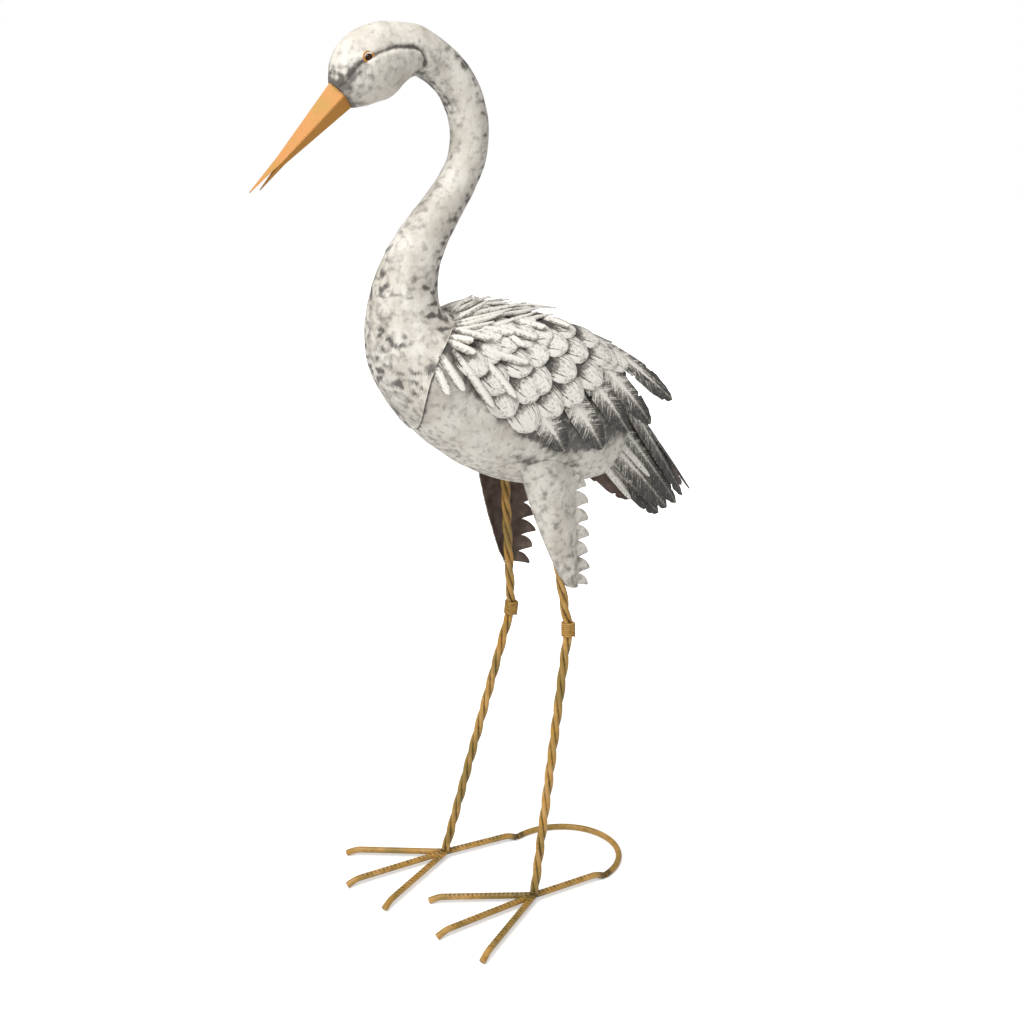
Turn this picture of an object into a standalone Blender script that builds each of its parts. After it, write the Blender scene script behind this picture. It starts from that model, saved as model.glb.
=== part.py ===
"""Walking metal stork, a garden statue of welded sheet steel on rod legs.

Metres, +Z up.  The bird looks along -Y and its left side is +X.  The finished
model is centred on its own footprint and stands on z = 0.
"""
import math

import bmesh
import bpy
from mathutils import Matrix, Vector

# Fits and stock
FIT_GAP = 0.0003
SHEET = 0.0012
TOE_ROD = 0.0080
TOE_SIDES = 8
LEG_BUNDLE = 0.0060
LEG_GROOVE = 0.0046
COLLAR_WIRE = 0.0026

# Stance, measured on the ground between the two ankles
HALF_STANCE = 0.0695
STRIDE = 0.0285
ANKLE_RISE = 0.0095
TOE_OUT = 2.0
HEEL_TURN_LEFT = -2.0
HEEL_TURN_RIGHT = 6.0

# Toes and the stay that joins the heels
MIDDLE_TOE = 0.141
SIDE_TOE = 0.134
BACK_TOE = 0.104
TOE_SPREAD = 30.0
TOE_TIP = 0.013
STAY_REACH = 0.0725
STAY_DRIFT = 0.018
STAY_STEPS = 12
STAY_SETBACK_SHARE = 0.29

# Legs: joints of the right leg, which leads, and the left leg, which trails
KNEE_HEIGHT = 0.360
KNEE_HALF_SPACING = 0.046
KNEE_BACK = 0.074
KNEE_LEAD = 0.014
HIP_HEIGHT = 0.585
HIP_HALF_SPACING = 0.037
HIP_BACK = 0.048
HIP_LEAD = 0.004
LEG_TWIST_PITCH = 0.093
LEG_TWIST_STEP_ANGLE = 60.0
STRANDS = 3
SOCKET_SIDES = 12

# Wire collars at the knees
COLLAR_TURNS = 7
COLLAR_SIDES = 10
COLLAR_GROOVE_SHARE = 0.55

# Shell outlines: y, rise over the hips, lean, half depth, half width and bow of each ring.
# Lean is the angle of the line from the throat or belly up to the nape or back.
# Bow is how far the sides of a ring reach forward of its top and bottom.
HEAD_AND_NECK = (
    (-0.1591, 0.3915, 133.0, 0.0168, 0.0125, 0.0),
    (-0.1553, 0.3956, 133.0, 0.0215, 0.0180, 0.0),
    (-0.1490, 0.4022, 132.0, 0.0278, 0.0235, 0.0),
    (-0.1400, 0.4105, 128.0, 0.0328, 0.0280, 0.0),
    (-0.1275, 0.4185, 120.0, 0.0357, 0.0310, 0.0),
    (-0.1120, 0.4260, 108.0, 0.0343, 0.0305, 0.0),
    (-0.0945, 0.4315, 95.0, 0.0290, 0.0270, 0.0),
    (-0.0745, 0.4330, 80.0, 0.0240, 0.0230, 0.0),
    (-0.0545, 0.4230, 60.0, 0.0218, 0.0212, 0.0),
    (-0.0352, 0.4062, 38.0, 0.0215, 0.0210, 0.0),
    (-0.0217, 0.3832, 18.0, 0.0211, 0.0207, 0.0),
    (-0.0168, 0.3570, 2.0, 0.0207, 0.0205, 0.0),
    (-0.0193, 0.3300, -14.0, 0.0201, 0.0202, 0.0),
    (-0.0307, 0.3060, -30.0, 0.0202, 0.0203, 0.0),
    (-0.0500, 0.2790, -36.0, 0.0220, 0.0215, 0.0),
    (-0.0700, 0.2525, -34.0, 0.0254, 0.0247, 0.0),
    (-0.0865, 0.2245, -22.0, 0.0302, 0.0294, 0.0),
    (-0.0965, 0.1950, -6.0, 0.0358, 0.0350, 0.0),
    (-0.0992, 0.1666, 12.0, 0.0422, 0.0415, 0.003),
    (-0.0945, 0.1409, 35.0, 0.0512, 0.0500, 0.008),
    (-0.0812, 0.1193, 55.0, 0.0601, 0.0580, 0.016),
    (-0.0700, 0.1055, 68.0, 0.0668, 0.0635, 0.027),
)
BODY = (
    (-0.0455, 0.0898, 78.5, 0.0790, 0.0675, 0.018),
    (-0.0155, 0.0755, 83.0, 0.0890, 0.0715, 0.008),
    (0.0250, 0.0603, 87.0, 0.0950, 0.0745, 0.003),
    (0.0675, 0.0490, 88.5, 0.0945, 0.0740, 0.0),
    (0.1065, 0.0375, 89.0, 0.0870, 0.0690, 0.0),
    (0.1400, 0.0255, 90.0, 0.0750, 0.0600, 0.0),
    (0.1625, 0.0145, 90.0, 0.0590, 0.0465, 0.0),
    (0.1775, 0.0055, 88.0, 0.0400, 0.0310, 0.0),
    (0.1850, 0.0015, 88.0, 0.0180, 0.0150, 0.0),
)
# The sweep of the folded wings, which leaves the body behind the shoulders
WING_SWEEP = (
    (0.0250, 0.0603, 87.0, 0.0990, 0.0760, 0.003),
    (0.0675, 0.0490, 88.5, 0.1050, 0.0775, 0.0),
    (0.1065, 0.0375, 89.0, 0.1040, 0.0760, 0.0),
    (0.1400, 0.0255, 90.0, 0.1010, 0.0720, 0.0),
    (0.1720, 0.0135, 90.0, 0.0980, 0.0660, 0.0),
    (0.2050, 0.0015, 90.0, 0.0940, 0.0590, 0.0),
    (0.2400, -0.0110, 90.0, 0.0890, 0.0510, 0.0),
)
SEAM_LIP = 0.0010
SHELL_SIDES = 16

# Beak: the folded diamond's root and its two parted tips
BEAK_RISE = 0.3913
BEAK_ROOT = Vector((0.0, -0.1593, HIP_HEIGHT + BEAK_RISE))
UPPER_BEAK = 0.134
LOWER_BEAK = 0.1245
BEAK_HALF_DEPTH = 0.0154
BEAK_HALF_WIDTH = 0.0105
BEAK_LEAN = 133.0
BEAK_CLOSED = 0.088
UPPER_TIP_RISE = 0.0022
LOWER_TIP_DROP = 0.0036
BEAK_TIP = 0.0009

# Eyes
EYE_RISE = 0.4262
EYE_CENTRE = Vector((0.0265, -0.1392, HIP_HEIGHT + EYE_RISE))
EYE_RADIUS = 0.0043
EYE_RING_WIDTH = 0.0018
EYE_RING_HEIGHT = 0.0022
EYE_SINK = 0.0030
EYE_RING_ROUNDING = 0.4
RECESS_SIDES = 16
BEAD_SIDES = 10
BEAD_STEPS = 6
RING_SIDES = 12

# Thigh plates: curved sheet with a toothed rear edge, let into the belly
THIGH_RISE = 0.017
THIGH_DROP = 0.165
THIGH_FRONT_TOP = 0.012
THIGH_FRONT_FOOT = 0.0645
THIGH_REAR_TOP = 0.088
THIGH_REAR_FOOT = 0.0855
THIGH_OFFSET = 0.0505
THIGH_BULGE = 0.011
THIGH_LEAD = 0.0135
THIGH_TEETH = 9
TOOTH_REACH = 0.0215
TOOTH_CURL = 0.10
TOOTH_ROOT = 0.0008
THIGH_COLUMNS = 3

# Feathers
FEATHER_SHEET = 0.0012
PLATE_SHEET = 0.0020
SKIN_SINK = 0.0010
ROOT_LIFT = 0.0003
FLAT_ANGLE = 0.3
WING_SLANT_PLACES = 0.043
WING_FRONT_PLACE = 0.55
WING_REAR_PLACE = 3.30
WING_TOP_ANGLE = 9.0
WING_LOW_ANGLE = 92.0
WING_CUT_PLACES = 1.5
WING_COLUMNS = 4
WING_ROWS = 6
SCALE_WIDTH = 0.0310
SCALE_STEP_ANGLE = 14.5
SCALE_TIP_LIFT = 0.0050
SCALE_STAGGER = 0.0026
SCALE_ROWS = (
    (-0.55, 48.0, 3, 0.040), (0.40, 62.5, 4, 0.040), (1.00, 77.0, 5, 0.042), (1.90, 84.0, 6, 0.043),
)
FLIGHT_ROW_PLACE = 2.65
FLIGHT_WIDTH = 0.029
FLIGHT_TOP_ANGLE = 14.0
FLIGHT_LOW_ANGLE = 84.0
FLIGHT_LENGTHS = (0.102, 0.114, 0.104, 0.095, 0.088, 0.068)
FLIGHT_HUG = 0.024
FLIGHT_TIP_LIFT = 0.0020
FLIGHT_BANK_ANGLE = 24.0
WING_HEADING_ANGLE = 40.0
RIDGE_HEADING_ANGLE = 12.0
STEEP_FROM_ANGLE = 45.0

# Hackles over the shoulders: place, angle around and length of one side
HACKLE_WIDTH = 0.0080
HACKLE_HEADING_ANGLE = 57.0
HACKLE_ROOT = 0.0026
HACKLE_LIFT = 0.0155
HACKLE_REACH = 0.07
HACKLE_FAN = 1.6
COLLAR_FRONT_PLACE = 0.04
COLLAR_REAR_PLACE = 0.40
COLLAR_EDGE_ANGLE = 86.0
COLLAR_ROWS = 10
COLLAR_SHEET = 0.0036
HACKLES = (
    (0.25, 84.0, 0.026), (0.25, 72.0, 0.034), (0.30, 61.0, 0.060), (0.25, 52.0, 0.030),
    (0.32, 44.0, 0.078), (0.25, 36.0, 0.046), (0.32, 28.0, 0.094), (0.25, 20.0, 0.064),
    (0.32, 13.0, 0.112), (0.25, 5.0, 0.090),
)

# Tail: angle around the rump, pitch and bank of each feather, and its length
TAIL_WIDTH = 0.031
TAIL_FAN = ((8.0, 51.0, 24.0, 0.208), (26.0, 56.0, 50.0, 0.188), (46.0, 65.0, 74.0, 0.165))
STRIP_WIDTH = 0.008
TAIL_SPLAY = 0.06
TAIL_STRIPS = ((60.0, 78.0, 80.0, 0.080), (76.0, 84.0, 90.0, 0.066))
STRIP_PLACE = 6.3
TAIL_PLACE = 7.0
TAIL_FRONT_PLACE = 6.1
TAIL_REAR_PLACE = 7.6
TAIL_EDGE_ANGLE = 84.0
TAIL_COLUMNS = 1
TAIL_ROWS = 6

PARTS = bpy.data.collections.new("metal_stork_statue")
CUTTERS = bpy.data.collections.new("cutters")


def clear_scene():
    """Remove what a new file starts with and link the two collections."""
    for thing in list(bpy.data.objects):
        bpy.data.objects.remove(thing, do_unlink=True)
    bpy.context.scene.collection.children.link(PARTS)
    bpy.context.scene.collection.children.link(CUTTERS)


def material(name, colour, roughness, metallic):
    """One Principled material with plain values."""
    made = bpy.data.materials.new(name)
    made.use_nodes = True
    shader = made.node_tree.nodes["Principled BSDF"]
    shader.inputs["Base Color"].default_value = (*colour, 1.0)
    shader.inputs["Roughness"].default_value = roughness
    shader.inputs["Metallic"].default_value = metallic
    return made


ANTIQUE_WHITE = material("antique_white_paint", (0.62, 0.60, 0.55), 0.55, 0.0)
GREY_FEATHER = material("grey_brushed_feather_paint", (0.30, 0.29, 0.27), 0.6, 0.0)
OCHRE = material("golden_ochre_paint", (0.45, 0.26, 0.06), 0.5, 0.0)
BEAK_ORANGE = material("beak_orange_paint", (0.75, 0.38, 0.12), 0.5, 0.0)
EYE_GLASS = material("dark_brown_glass", (0.03, 0.015, 0.006), 0.08, 0.0)


def finish_mesh(name, bm, finish, collection=PARTS):
    """Turn a bmesh into a named object with soft shading."""
    mesh = bpy.data.meshes.new(name)
    bm.to_mesh(mesh)
    bm.free()
    mesh.shade_smooth()
    mesh.set_sharp_from_angle(angle=math.radians(35))
    made = bpy.data.objects.new(name, mesh)
    collection.objects.link(made)
    if finish is not None:
        made.data.materials.append(finish)
    if collection is CUTTERS:
        made.hide_render = True
        made.display_type = "WIRE"
    return made


def boolean(target, operation, tool):
    """Apply one exact Boolean to the target's mesh and drop the modifier."""
    step = target.modifiers.new("cut", "BOOLEAN")
    step.operation = operation
    step.solver = "EXACT"
    step.object = tool
    depsgraph = bpy.context.evaluated_depsgraph_get()
    result = bpy.data.meshes.new_from_object(target.evaluated_get(depsgraph))
    target.modifiers.clear()
    result.name = target.name
    target.data = result


def close_fan(bm, row):
    """Close one end of a loft with a fan about its middle."""
    middle = bm.verts.new(sum((vert.co for vert in row), Vector()) / len(row))
    for index in range(len(row)):
        bm.faces.new((row[index], row[(index + 1) % len(row)], middle))


def close_ladder(bm, row):
    """Close one end of a lofted sheet with faces between its two skins."""
    for index in range(len(row) // 2 - 1):
        bm.faces.new((row[index], row[index + 1], row[-2 - index], row[-1 - index]))


def loft(rings, close_end=close_fan):
    """Skin a row of equal rings of points into a closed body with outward faces."""
    bm = bmesh.new()
    rows = [[bm.verts.new(point) for point in ring] for ring in rings]
    for row, following in zip(rows, rows[1:]):
        for index in range(len(row)):
            after = (index + 1) % len(row)
            bm.faces.new((row[index], row[after], following[after], following[index]))
    if close_end is not None:
        close_end(bm, rows[0][::-1])
        close_end(bm, rows[-1])
    bmesh.ops.remove_doubles(bm, verts=bm.verts, dist=1e-6)
    bmesh.ops.triangulate(bm, faces=bm.faces)
    if bm.calc_volume(signed=True) < 0.0:
        bmesh.ops.reverse_faces(bm, faces=bm.faces)
    return bm


def shell_axes(lean):
    """Unit vectors of a shell ring: up across it, and rearward along the shell."""
    angle = math.radians(lean)
    up = Vector((0.0, math.cos(angle), math.sin(angle)))
    rearward = Vector((0.0, math.sin(angle), -math.cos(angle)))
    return up, rearward


def shell_point(knot, around, lift=0.0):
    """A point on a shell ring; around is the angle from the back down the left side."""
    y, rise, lean, deep, wide, bow = knot
    up, rearward = shell_axes(lean)
    side = math.sin(around)
    point = Vector((0.0, y, HIP_HEIGHT + rise)) + up * (deep + lift) * math.cos(around)
    point += Vector((wide + lift, 0.0, 0.0)) * side
    return point - rearward * bow * side * side


def shell_ring(knot, sides, lift=0.0):
    """All the points of one shell ring."""
    return [shell_point(knot, math.tau * index / sides, lift) for index in range(sides)]


def mix_knots(knots, place):
    """Smooth value of a row of knots at a place counted in knots."""
    last = len(knots) - 1
    place = min(max(place, 0.0), last)
    low = min(int(place), last - 1)
    t = place - low
    row = [knots[min(max(low + offset, 0), last)] for offset in (-1, 0, 1, 2)]
    weights = (
        -0.5 * t + t * t - 0.5 * t ** 3,
        1.0 - 2.5 * t * t + 1.5 * t ** 3,
        0.5 * t + 2.0 * t * t - 1.5 * t ** 3,
        -0.5 * t * t + 0.5 * t ** 3,
    )
    return tuple(sum(w * knot[i] for w, knot in zip(weights, row)) for i in range(len(row[0])))


def body_knots():
    """Body rings from the seam back, the first tucked just under the neck's lip."""
    y, rise, lean, deep, wide, bow = HEAD_AND_NECK[-1]
    rearward = shell_axes(lean)[1] * FIT_GAP
    start = (y + rearward.y, rise + rearward.z, lean, deep - SEAM_LIP, wide - SEAM_LIP, bow)
    return (start, *BODY)


def neck_mesh(name, finish, grow=0.0, collection=PARTS):
    """Head, neck and breast shell."""
    rings = [shell_ring(knot, SHELL_SIDES, grow) for knot in HEAD_AND_NECK]
    return finish_mesh(name, loft(rings), finish, collection)


def body_mesh(name, finish, grow=0.0, collection=PARTS):
    """Teardrop body shell."""
    rings = [shell_ring(knot, SHELL_SIDES, grow) for knot in body_knots()]
    if grow:
        rearward = shell_axes(BODY[-1][2])[1] * grow
        rings.append([point + rearward for point in rings[-1]])
    return finish_mesh(name, loft(rings), finish, collection)


def mandible(name, side_up, length, tip_shift):
    """One half of the folded beak, from root to tip; side_up is 1 above and -1 below."""
    across, backward = shell_axes(BEAK_LEAN)
    rings = []
    for distance, shift in ((0.0, 0.0), (BEAK_CLOSED, 0.0), (length, tip_shift)):
        taper = 1.0 - distance / length
        mouth = BEAK_ROOT - backward * distance + across * side_up * (shift - BEAK_TIP / 2)
        ridge = mouth + across * side_up * (BEAK_HALF_DEPTH * taper + BEAK_TIP)
        corner = Vector((BEAK_HALF_WIDTH * taper + BEAK_TIP / 2, 0.0, 0.0))
        rings.append([ridge, mouth + corner, mouth - corner])
    return finish_mesh(name, loft(rings), BEAK_ORANGE)


def make_beak():
    """Beak of folded sheet whose two tips are parted."""
    beak = mandible("beak", 1.0, UPPER_BEAK, UPPER_TIP_RISE)
    lower = mandible("beak_lower_half", -1.0, LOWER_BEAK, LOWER_TIP_DROP)
    boolean(beak, "UNION", lower)
    bpy.data.objects.remove(lower, do_unlink=True)


def turned(profile, centre, axis, sides):
    """Rings of points turned about an axis; the profile lists radius and height."""
    beside = axis.orthogonal().normalized()
    across = axis.cross(beside)
    rings = []
    for radius, height in profile:
        middle = centre + axis * height
        rings.append([
            middle + (beside * math.cos(angle) + across * math.sin(angle)) * radius
            for angle in (math.tau * index / sides for index in range(sides))
        ])
    return rings


def make_eye(name, side, head):
    """Glass bead in a raised ring, both seated in a round recess in the head."""
    centre = Vector((EYE_CENTRE.x * side, EYE_CENTRE.y, EYE_CENTRE.z))
    outward = Vector((side, 0.0, 0.0))
    inner = EYE_RADIUS + FIT_GAP
    outer = inner + EYE_RING_WIDTH
    recess = ((outer + FIT_GAP, -EYE_SINK - FIT_GAP), (outer + FIT_GAP, 3.0 * EYE_RADIUS))
    recess_rows = turned(recess, centre, outward, RECESS_SIDES)
    cutter = finish_mesh(f"{name}_recess", loft(recess_rows), None, CUTTERS)
    boolean(head, "DIFFERENCE", cutter)
    bead = [
        (EYE_RADIUS * math.sin(angle), EYE_RADIUS * (1.0 - math.cos(angle)) - EYE_SINK)
        for angle in (math.pi * step / BEAD_STEPS for step in range(1, BEAD_STEPS))
    ]
    finish_mesh(name, loft(turned(bead, centre, outward, BEAD_SIDES)), EYE_GLASS)
    lip = EYE_RING_HEIGHT - EYE_RING_WIDTH * EYE_RING_ROUNDING
    profile = (
        (inner, -EYE_SINK), (inner, lip), ((inner + outer) / 2, EYE_RING_HEIGHT),
        (outer, lip), (outer, -EYE_SINK),
    )
    rows = turned(profile, centre, outward, RING_SIDES)
    finish_mesh(f"{name}_ring", loft([*rows, rows[0]], close_end=None), BEAK_ORANGE)


def leg_joints(side):
    """Ankle, knee and hip of one leg; the right leg leads."""
    lead = -side
    rod_top = ANKLE_RISE + TOE_ROD / 2
    ankle = Vector((HALF_STANCE * side, -STRIDE * lead, rod_top + FIT_GAP))
    knee = Vector((KNEE_HALF_SPACING * side, KNEE_BACK - KNEE_LEAD * lead, KNEE_HEIGHT))
    hip = Vector((HIP_HALF_SPACING * side, HIP_BACK - HIP_LEAD * lead, HIP_HEIGHT))
    return ankle, knee, hip


def leg_frames(side):
    """Centre and cross axes at each step down the twisted leg, with the length so far."""
    ankle, knee, hip = leg_joints(side)
    step_length = LEG_TWIST_PITCH * LEG_TWIST_STEP_ANGLE / 360.0
    centres = []
    for start, end in ((ankle, knee), (knee, hip)):
        count = round((end - start).length / step_length)
        centres += [start.lerp(end, step / count) for step in range(count)]
    centres.append(hip)
    frames = []
    travelled = 0.0
    for index, centre in enumerate(centres):
        if 0 < index < len(centres) - 1:
            along = (centres[index + 1] - centres[index - 1]).normalized()
        else:
            along = Vector((0.0, 0.0, 1.0))
        across = Vector((1.0, 0.0, 0.0)).cross(along).normalized()
        travelled += (centre - centres[max(index - 1, 0)]).length
        frames.append((centre, across, along.cross(across), travelled))
    return frames


def ring_about(frame, radii, turn=0.0):
    """A ring of points about a frame, one for each radius."""
    centre, across, beside, _ = frame
    angles = (turn + math.tau * index / len(radii) for index in range(len(radii)))
    return [
        centre + (across * math.cos(angle) + beside * math.sin(angle)) * radius
        for angle, radius in zip(angles, radii)
    ]


def make_leg(name, side, body):
    """Three rods twisted together, bent at the knee and socketed in the belly."""
    frames = leg_frames(side)
    radii = (LEG_BUNDLE, LEG_GROOVE) * STRANDS
    rings = [ring_about(frame, radii, -math.tau * frame[3] / LEG_TWIST_PITCH) for frame in frames]
    finish_mesh(name, loft(rings), OCHRE)
    bore = (LEG_BUNDLE + FIT_GAP) / math.cos(math.pi / SOCKET_SIDES)
    knee, hip = leg_joints(side)[1:]
    foot_of_bore = (knee, *frames[-2][1:])
    head_of_bore = (hip + (hip - knee).normalized() * FIT_GAP, *frames[-1][1:])
    socket = [ring_about(frame, (bore,) * SOCKET_SIDES) for frame in (foot_of_bore, head_of_bore)]
    cutter = finish_mesh(f"{name}_socket", loft(socket), None, CUTTERS)
    boolean(body, "DIFFERENCE", cutter)


def make_collar(name, side):
    """Close coil of wire round the knee, drawn as a ring with a groove between turns."""
    ankle, knee, hip = leg_joints(side)
    axis = ((knee - ankle).normalized() + (hip - knee).normalized()).normalized()
    half_height = COLLAR_TURNS * COLLAR_WIRE / 2
    bend = (knee - ankle).angle(hip - knee) / 2
    bore = LEG_BUNDLE + half_height * math.tan(bend) + FIT_GAP
    bore /= math.cos(math.pi / COLLAR_SIDES)
    groove = bore + COLLAR_WIRE * COLLAR_GROOVE_SHARE
    profile = [(bore, -half_height)]
    for turn in range(COLLAR_TURNS):
        low = turn * COLLAR_WIRE - half_height
        profile.append((groove, low))
        profile.append((bore + COLLAR_WIRE, low + COLLAR_WIRE / 2))
    profile += [(groove, half_height), (bore, half_height)]
    rows = turned(profile, knee, axis, COLLAR_SIDES)
    finish_mesh(name, loft([*rows, rows[0]], close_end=None), OCHRE)


def rod_along(points, sides=TOE_SIDES):
    """Rod with a flat facet underneath, swept through points that lie near the ground."""
    rings = []
    radius = TOE_ROD / 2 / math.cos(math.pi / sides)
    for index, centre in enumerate(points):
        along = (points[min(index + 1, len(points) - 1)] - points[max(index - 1, 0)]).normalized()
        beside = along.cross(Vector((0.0, 0.0, 1.0))).normalized()
        lift = beside.cross(along)
        rings.append([
            centre + (lift * math.cos(angle) + beside * math.sin(angle)) * radius
            for angle in (math.tau * (corner + 0.5) / sides for corner in range(sides))
        ])
    return loft(rings)


def toe_headings(side):
    """Heading of each rod of a foot, in degrees outward from straight ahead."""
    return {
        "middle_toe": (TOE_OUT, MIDDLE_TOE),
        "outer_toe": (TOE_OUT + TOE_SPREAD, SIDE_TOE),
        "back_toe": (180.0 + (HEEL_TURN_LEFT if side > 0 else HEEL_TURN_RIGHT), BACK_TOE),
        "inner_toe": (TOE_OUT - TOE_SPREAD + 360.0, SIDE_TOE),
    }


def ground_direction(side, heading):
    """Level unit vector at a heading outward from straight ahead."""
    angle = math.radians(heading)
    return Vector((math.sin(angle) * side, -math.cos(angle), 0.0))


def toe_points(side, heading, length):
    """Path of one toe: level from the ankle, then bent down to rest its tip."""
    ankle = leg_joints(side)[0]
    centre = Vector((ankle.x, ankle.y, ANKLE_RISE))
    out = ground_direction(side, heading)
    rest = TOE_ROD / 2 * math.cos(math.atan2(ANKLE_RISE - TOE_ROD / 2, TOE_TIP))
    tip = centre + out * length
    tip.z = rest
    bend = centre + out * (length - TOE_TIP)
    return [centre, bend, tip]


def trim(bm, point, normal):
    """Cut away what lies on the normal's side of a plane and close the cut."""
    geometry = [*bm.verts, *bm.edges, *bm.faces]
    cut = bmesh.ops.bisect_plane(
        bm, geom=geometry, dist=1e-7, plane_co=point, plane_no=normal, clear_outer=True)
    edges = [item for item in cut["geom_cut"] if isinstance(item, bmesh.types.BMEdge)]
    bmesh.ops.triangle_fill(bm, edges=edges, use_beauty=True)
    bmesh.ops.recalc_face_normals(bm, faces=bm.faces)


def make_foot(foot, side):
    """Four rods mitred together under the leg; returns where the back one ends."""
    headings = toe_headings(side)
    ordered = list(headings.items())
    for index, (toe, (heading, length)) in enumerate(ordered):
        points = toe_points(side, heading, length)
        bm = rod_along(points)
        for step in (-1, 1):
            other = ordered[(index + step) % len(ordered)][1][0]
            turn = (other - heading + 180.0) % 360.0 - 180.0
            if step * turn < 0.0:
                turn += 360.0 * step
            limit = ground_direction(side, heading + turn / 2)
            normal = Vector((-limit.y, limit.x, 0.0)) * side * math.copysign(1.0, turn)
            normal = -normal if normal.dot(ground_direction(side, heading)) > 0.0 else normal
            trim(bm, points[0] - normal * FIT_GAP / 2, normal)
        finish_mesh(f"{foot}_{toe}", bm, OCHRE)


def make_stay():
    """Half-round rod that joins the two heels behind the bird and lies on the ground."""
    ends = []
    setback = FIT_GAP + TOE_ROD * STAY_SETBACK_SHARE
    for side in (-1.0, 1.0):
        heading, length = toe_headings(side)["back_toe"]
        tip = toe_points(side, heading, length)[-1]
        ends.append(tip + ground_direction(side, heading) * setback)
    right, left = ends
    rod_radius = TOE_ROD / 2
    points = []
    for step in range(STAY_STEPS + 1):
        angle = math.pi * step / STAY_STEPS
        share = (1.0 - math.cos(angle)) / 2
        bulge = math.sin(angle)
        point = right.lerp(left, share) + Vector((-STAY_DRIFT, STAY_REACH, 0.0)) * bulge
        point.z = rod_radius
        points.append(point)
    finish_mesh("rear_stay", rod_along(points), OCHRE)


def thigh_point(down, across, side, tooth_share=0.0):
    """A point on a thigh plate's outer face, or out along a tooth behind it; shares run to 1."""
    lead = -side
    front = THIGH_FRONT_TOP + (THIGH_FRONT_FOOT - THIGH_FRONT_TOP) * down ** 1.5
    rear = THIGH_REAR_TOP + (THIGH_REAR_FOOT - THIGH_REAR_TOP) * down
    wave = 0.5 - 0.5 * math.cos(math.tau * THIGH_TEETH * down)
    tooth = (TOOTH_REACH * wave + TOOTH_ROOT) * tooth_share
    y = front + (rear - front) * across - THIGH_LEAD * lead * down + tooth
    curl = 1.0 - (2.0 * across - 1.0) ** 2
    x = THIGH_OFFSET + THIGH_BULGE * curl - tooth * TOOTH_CURL
    z = HIP_HEIGHT + THIGH_RISE - (THIGH_RISE + THIGH_DROP) * down
    return Vector((x * side, y, z))


def make_thigh(name, side, body_cutter):
    """Curved plate over the thigh with teeth down its rear edge."""
    rows = 2 * THIGH_TEETH
    rings = []
    for row in range(rows + 1):
        down = row / rows
        outer = [thigh_point(down, step / THIGH_COLUMNS, side) for step in range(THIGH_COLUMNS + 1)]
        outer.append(thigh_point(down, 1.0, side, 1.0))
        inner = [point - Vector((SHEET * side, 0.0, 0.0)) for point in reversed(outer)]
        rings.append([*outer, *inner])
    plate = finish_mesh(name, loft(rings, close_ladder), ANTIQUE_WHITE)
    boolean(plate, "DIFFERENCE", body_cutter)


def wing_knots():
    """The form that the wings follow: the body's shoulders, then their own sweep."""
    return (*body_knots()[:3], *WING_SWEEP)


def skin_frame(knots, place, around, lift):
    """Point with rearward, downward and outward directions over a form's left side."""
    step = 0.01
    here = shell_point(mix_knots(knots, place), around, lift)
    rearward = shell_point(mix_knots(knots, place + step), around, lift)
    rearward -= shell_point(mix_knots(knots, place - step), around, lift)
    down = shell_point(mix_knots(knots, place), around + step, lift)
    down -= shell_point(mix_knots(knots, place), around - step, lift)
    outward = down.cross(rearward).normalized()
    return here, rearward, down, outward


def feather_rings(knots, place, around, heading, length, hug, width, outline, lifts, bank=0.0):
    """Rings of a feather that follows the skin for a while and then runs straight.

    The outline lists shares of the length with shares of the width, and lifts
    gives the height over the skin at the root and at the tip.  Bank rolls the
    straight part about its own length.
    """
    rings = []
    travelled = 0.0
    step = 0.01
    heading = math.radians(heading)
    point, rearward, down, outward = skin_frame(knots, place, around, lifts[0])
    for share, breadth in outline:
        distance = share * length
        lift = lifts[0] + (lifts[1] - lifts[0]) * share
        while travelled < min(distance, hug) - 1e-9:
            stride = min(0.004, min(distance, hug) - travelled)
            place += math.cos(heading) * stride / (rearward.length / (2 * step))
            around += math.sin(heading) * stride / (down.length / (2 * step))
            travelled += stride
            point, rearward, down, outward = skin_frame(knots, place, around, lift)
        along = rearward.normalized() * math.cos(heading) + down.normalized() * math.sin(heading)
        if distance <= hug:
            centre = point
        else:
            hug_share = hug / length
            climb = (lifts[1] - lifts[0]) * (share - hug_share)
            centre = point + along * (distance - hug) + outward * climb
        roll = Matrix.Rotation(math.radians(bank) * min(1.0, distance / length * 2.0), 3, along)
        face = roll @ outward
        beside = along.cross(face).normalized() * width * breadth / 2
        thick = face * FEATHER_SHEET
        low, high = centre - beside, centre + beside
        rings.append([high, low, low + thick, high + thick])
    return rings


def skin_plate(knots, columns, rows, spot, sheet_height=PLATE_SHEET):
    """Closed curved plate over a form; spot gives place and angle for shares."""
    sheets = []
    for lift in (-SKIN_SINK, sheet_height):
        sheet = []
        for row in range(rows + 1):
            line = []
            for column in range(columns + 1):
                place, around = spot(column / columns, row / rows)
                line.append(skin_frame(knots, place, math.radians(around), lift)[0])
            sheet.append(line)
        sheets.append(sheet)
    return [[*low, *reversed(high)] for low, high in zip(*sheets)]


def on_side(rings, side):
    """The same rings on the left, or mirrored for the right side."""
    return [[Vector((point.x * side, point.y, point.z)) for point in ring] for ring in rings]


def fuse(name, plate, feathers, finish, cutters):
    """Join a base plate and its feathers, one by one, into a body clear of the cutters."""
    fused = finish_mesh(name, loft(plate, close_ladder), finish)
    for rings in feathers:
        feather = finish_mesh(f"{name}_feather", loft(rings, close_ladder), finish)
        boolean(fused, "UNION", feather)
        bpy.data.objects.remove(feather, do_unlink=True)
    for cutter in cutters:
        boolean(fused, "DIFFERENCE", cutter)
    tidy(fused)
    return fused


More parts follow.
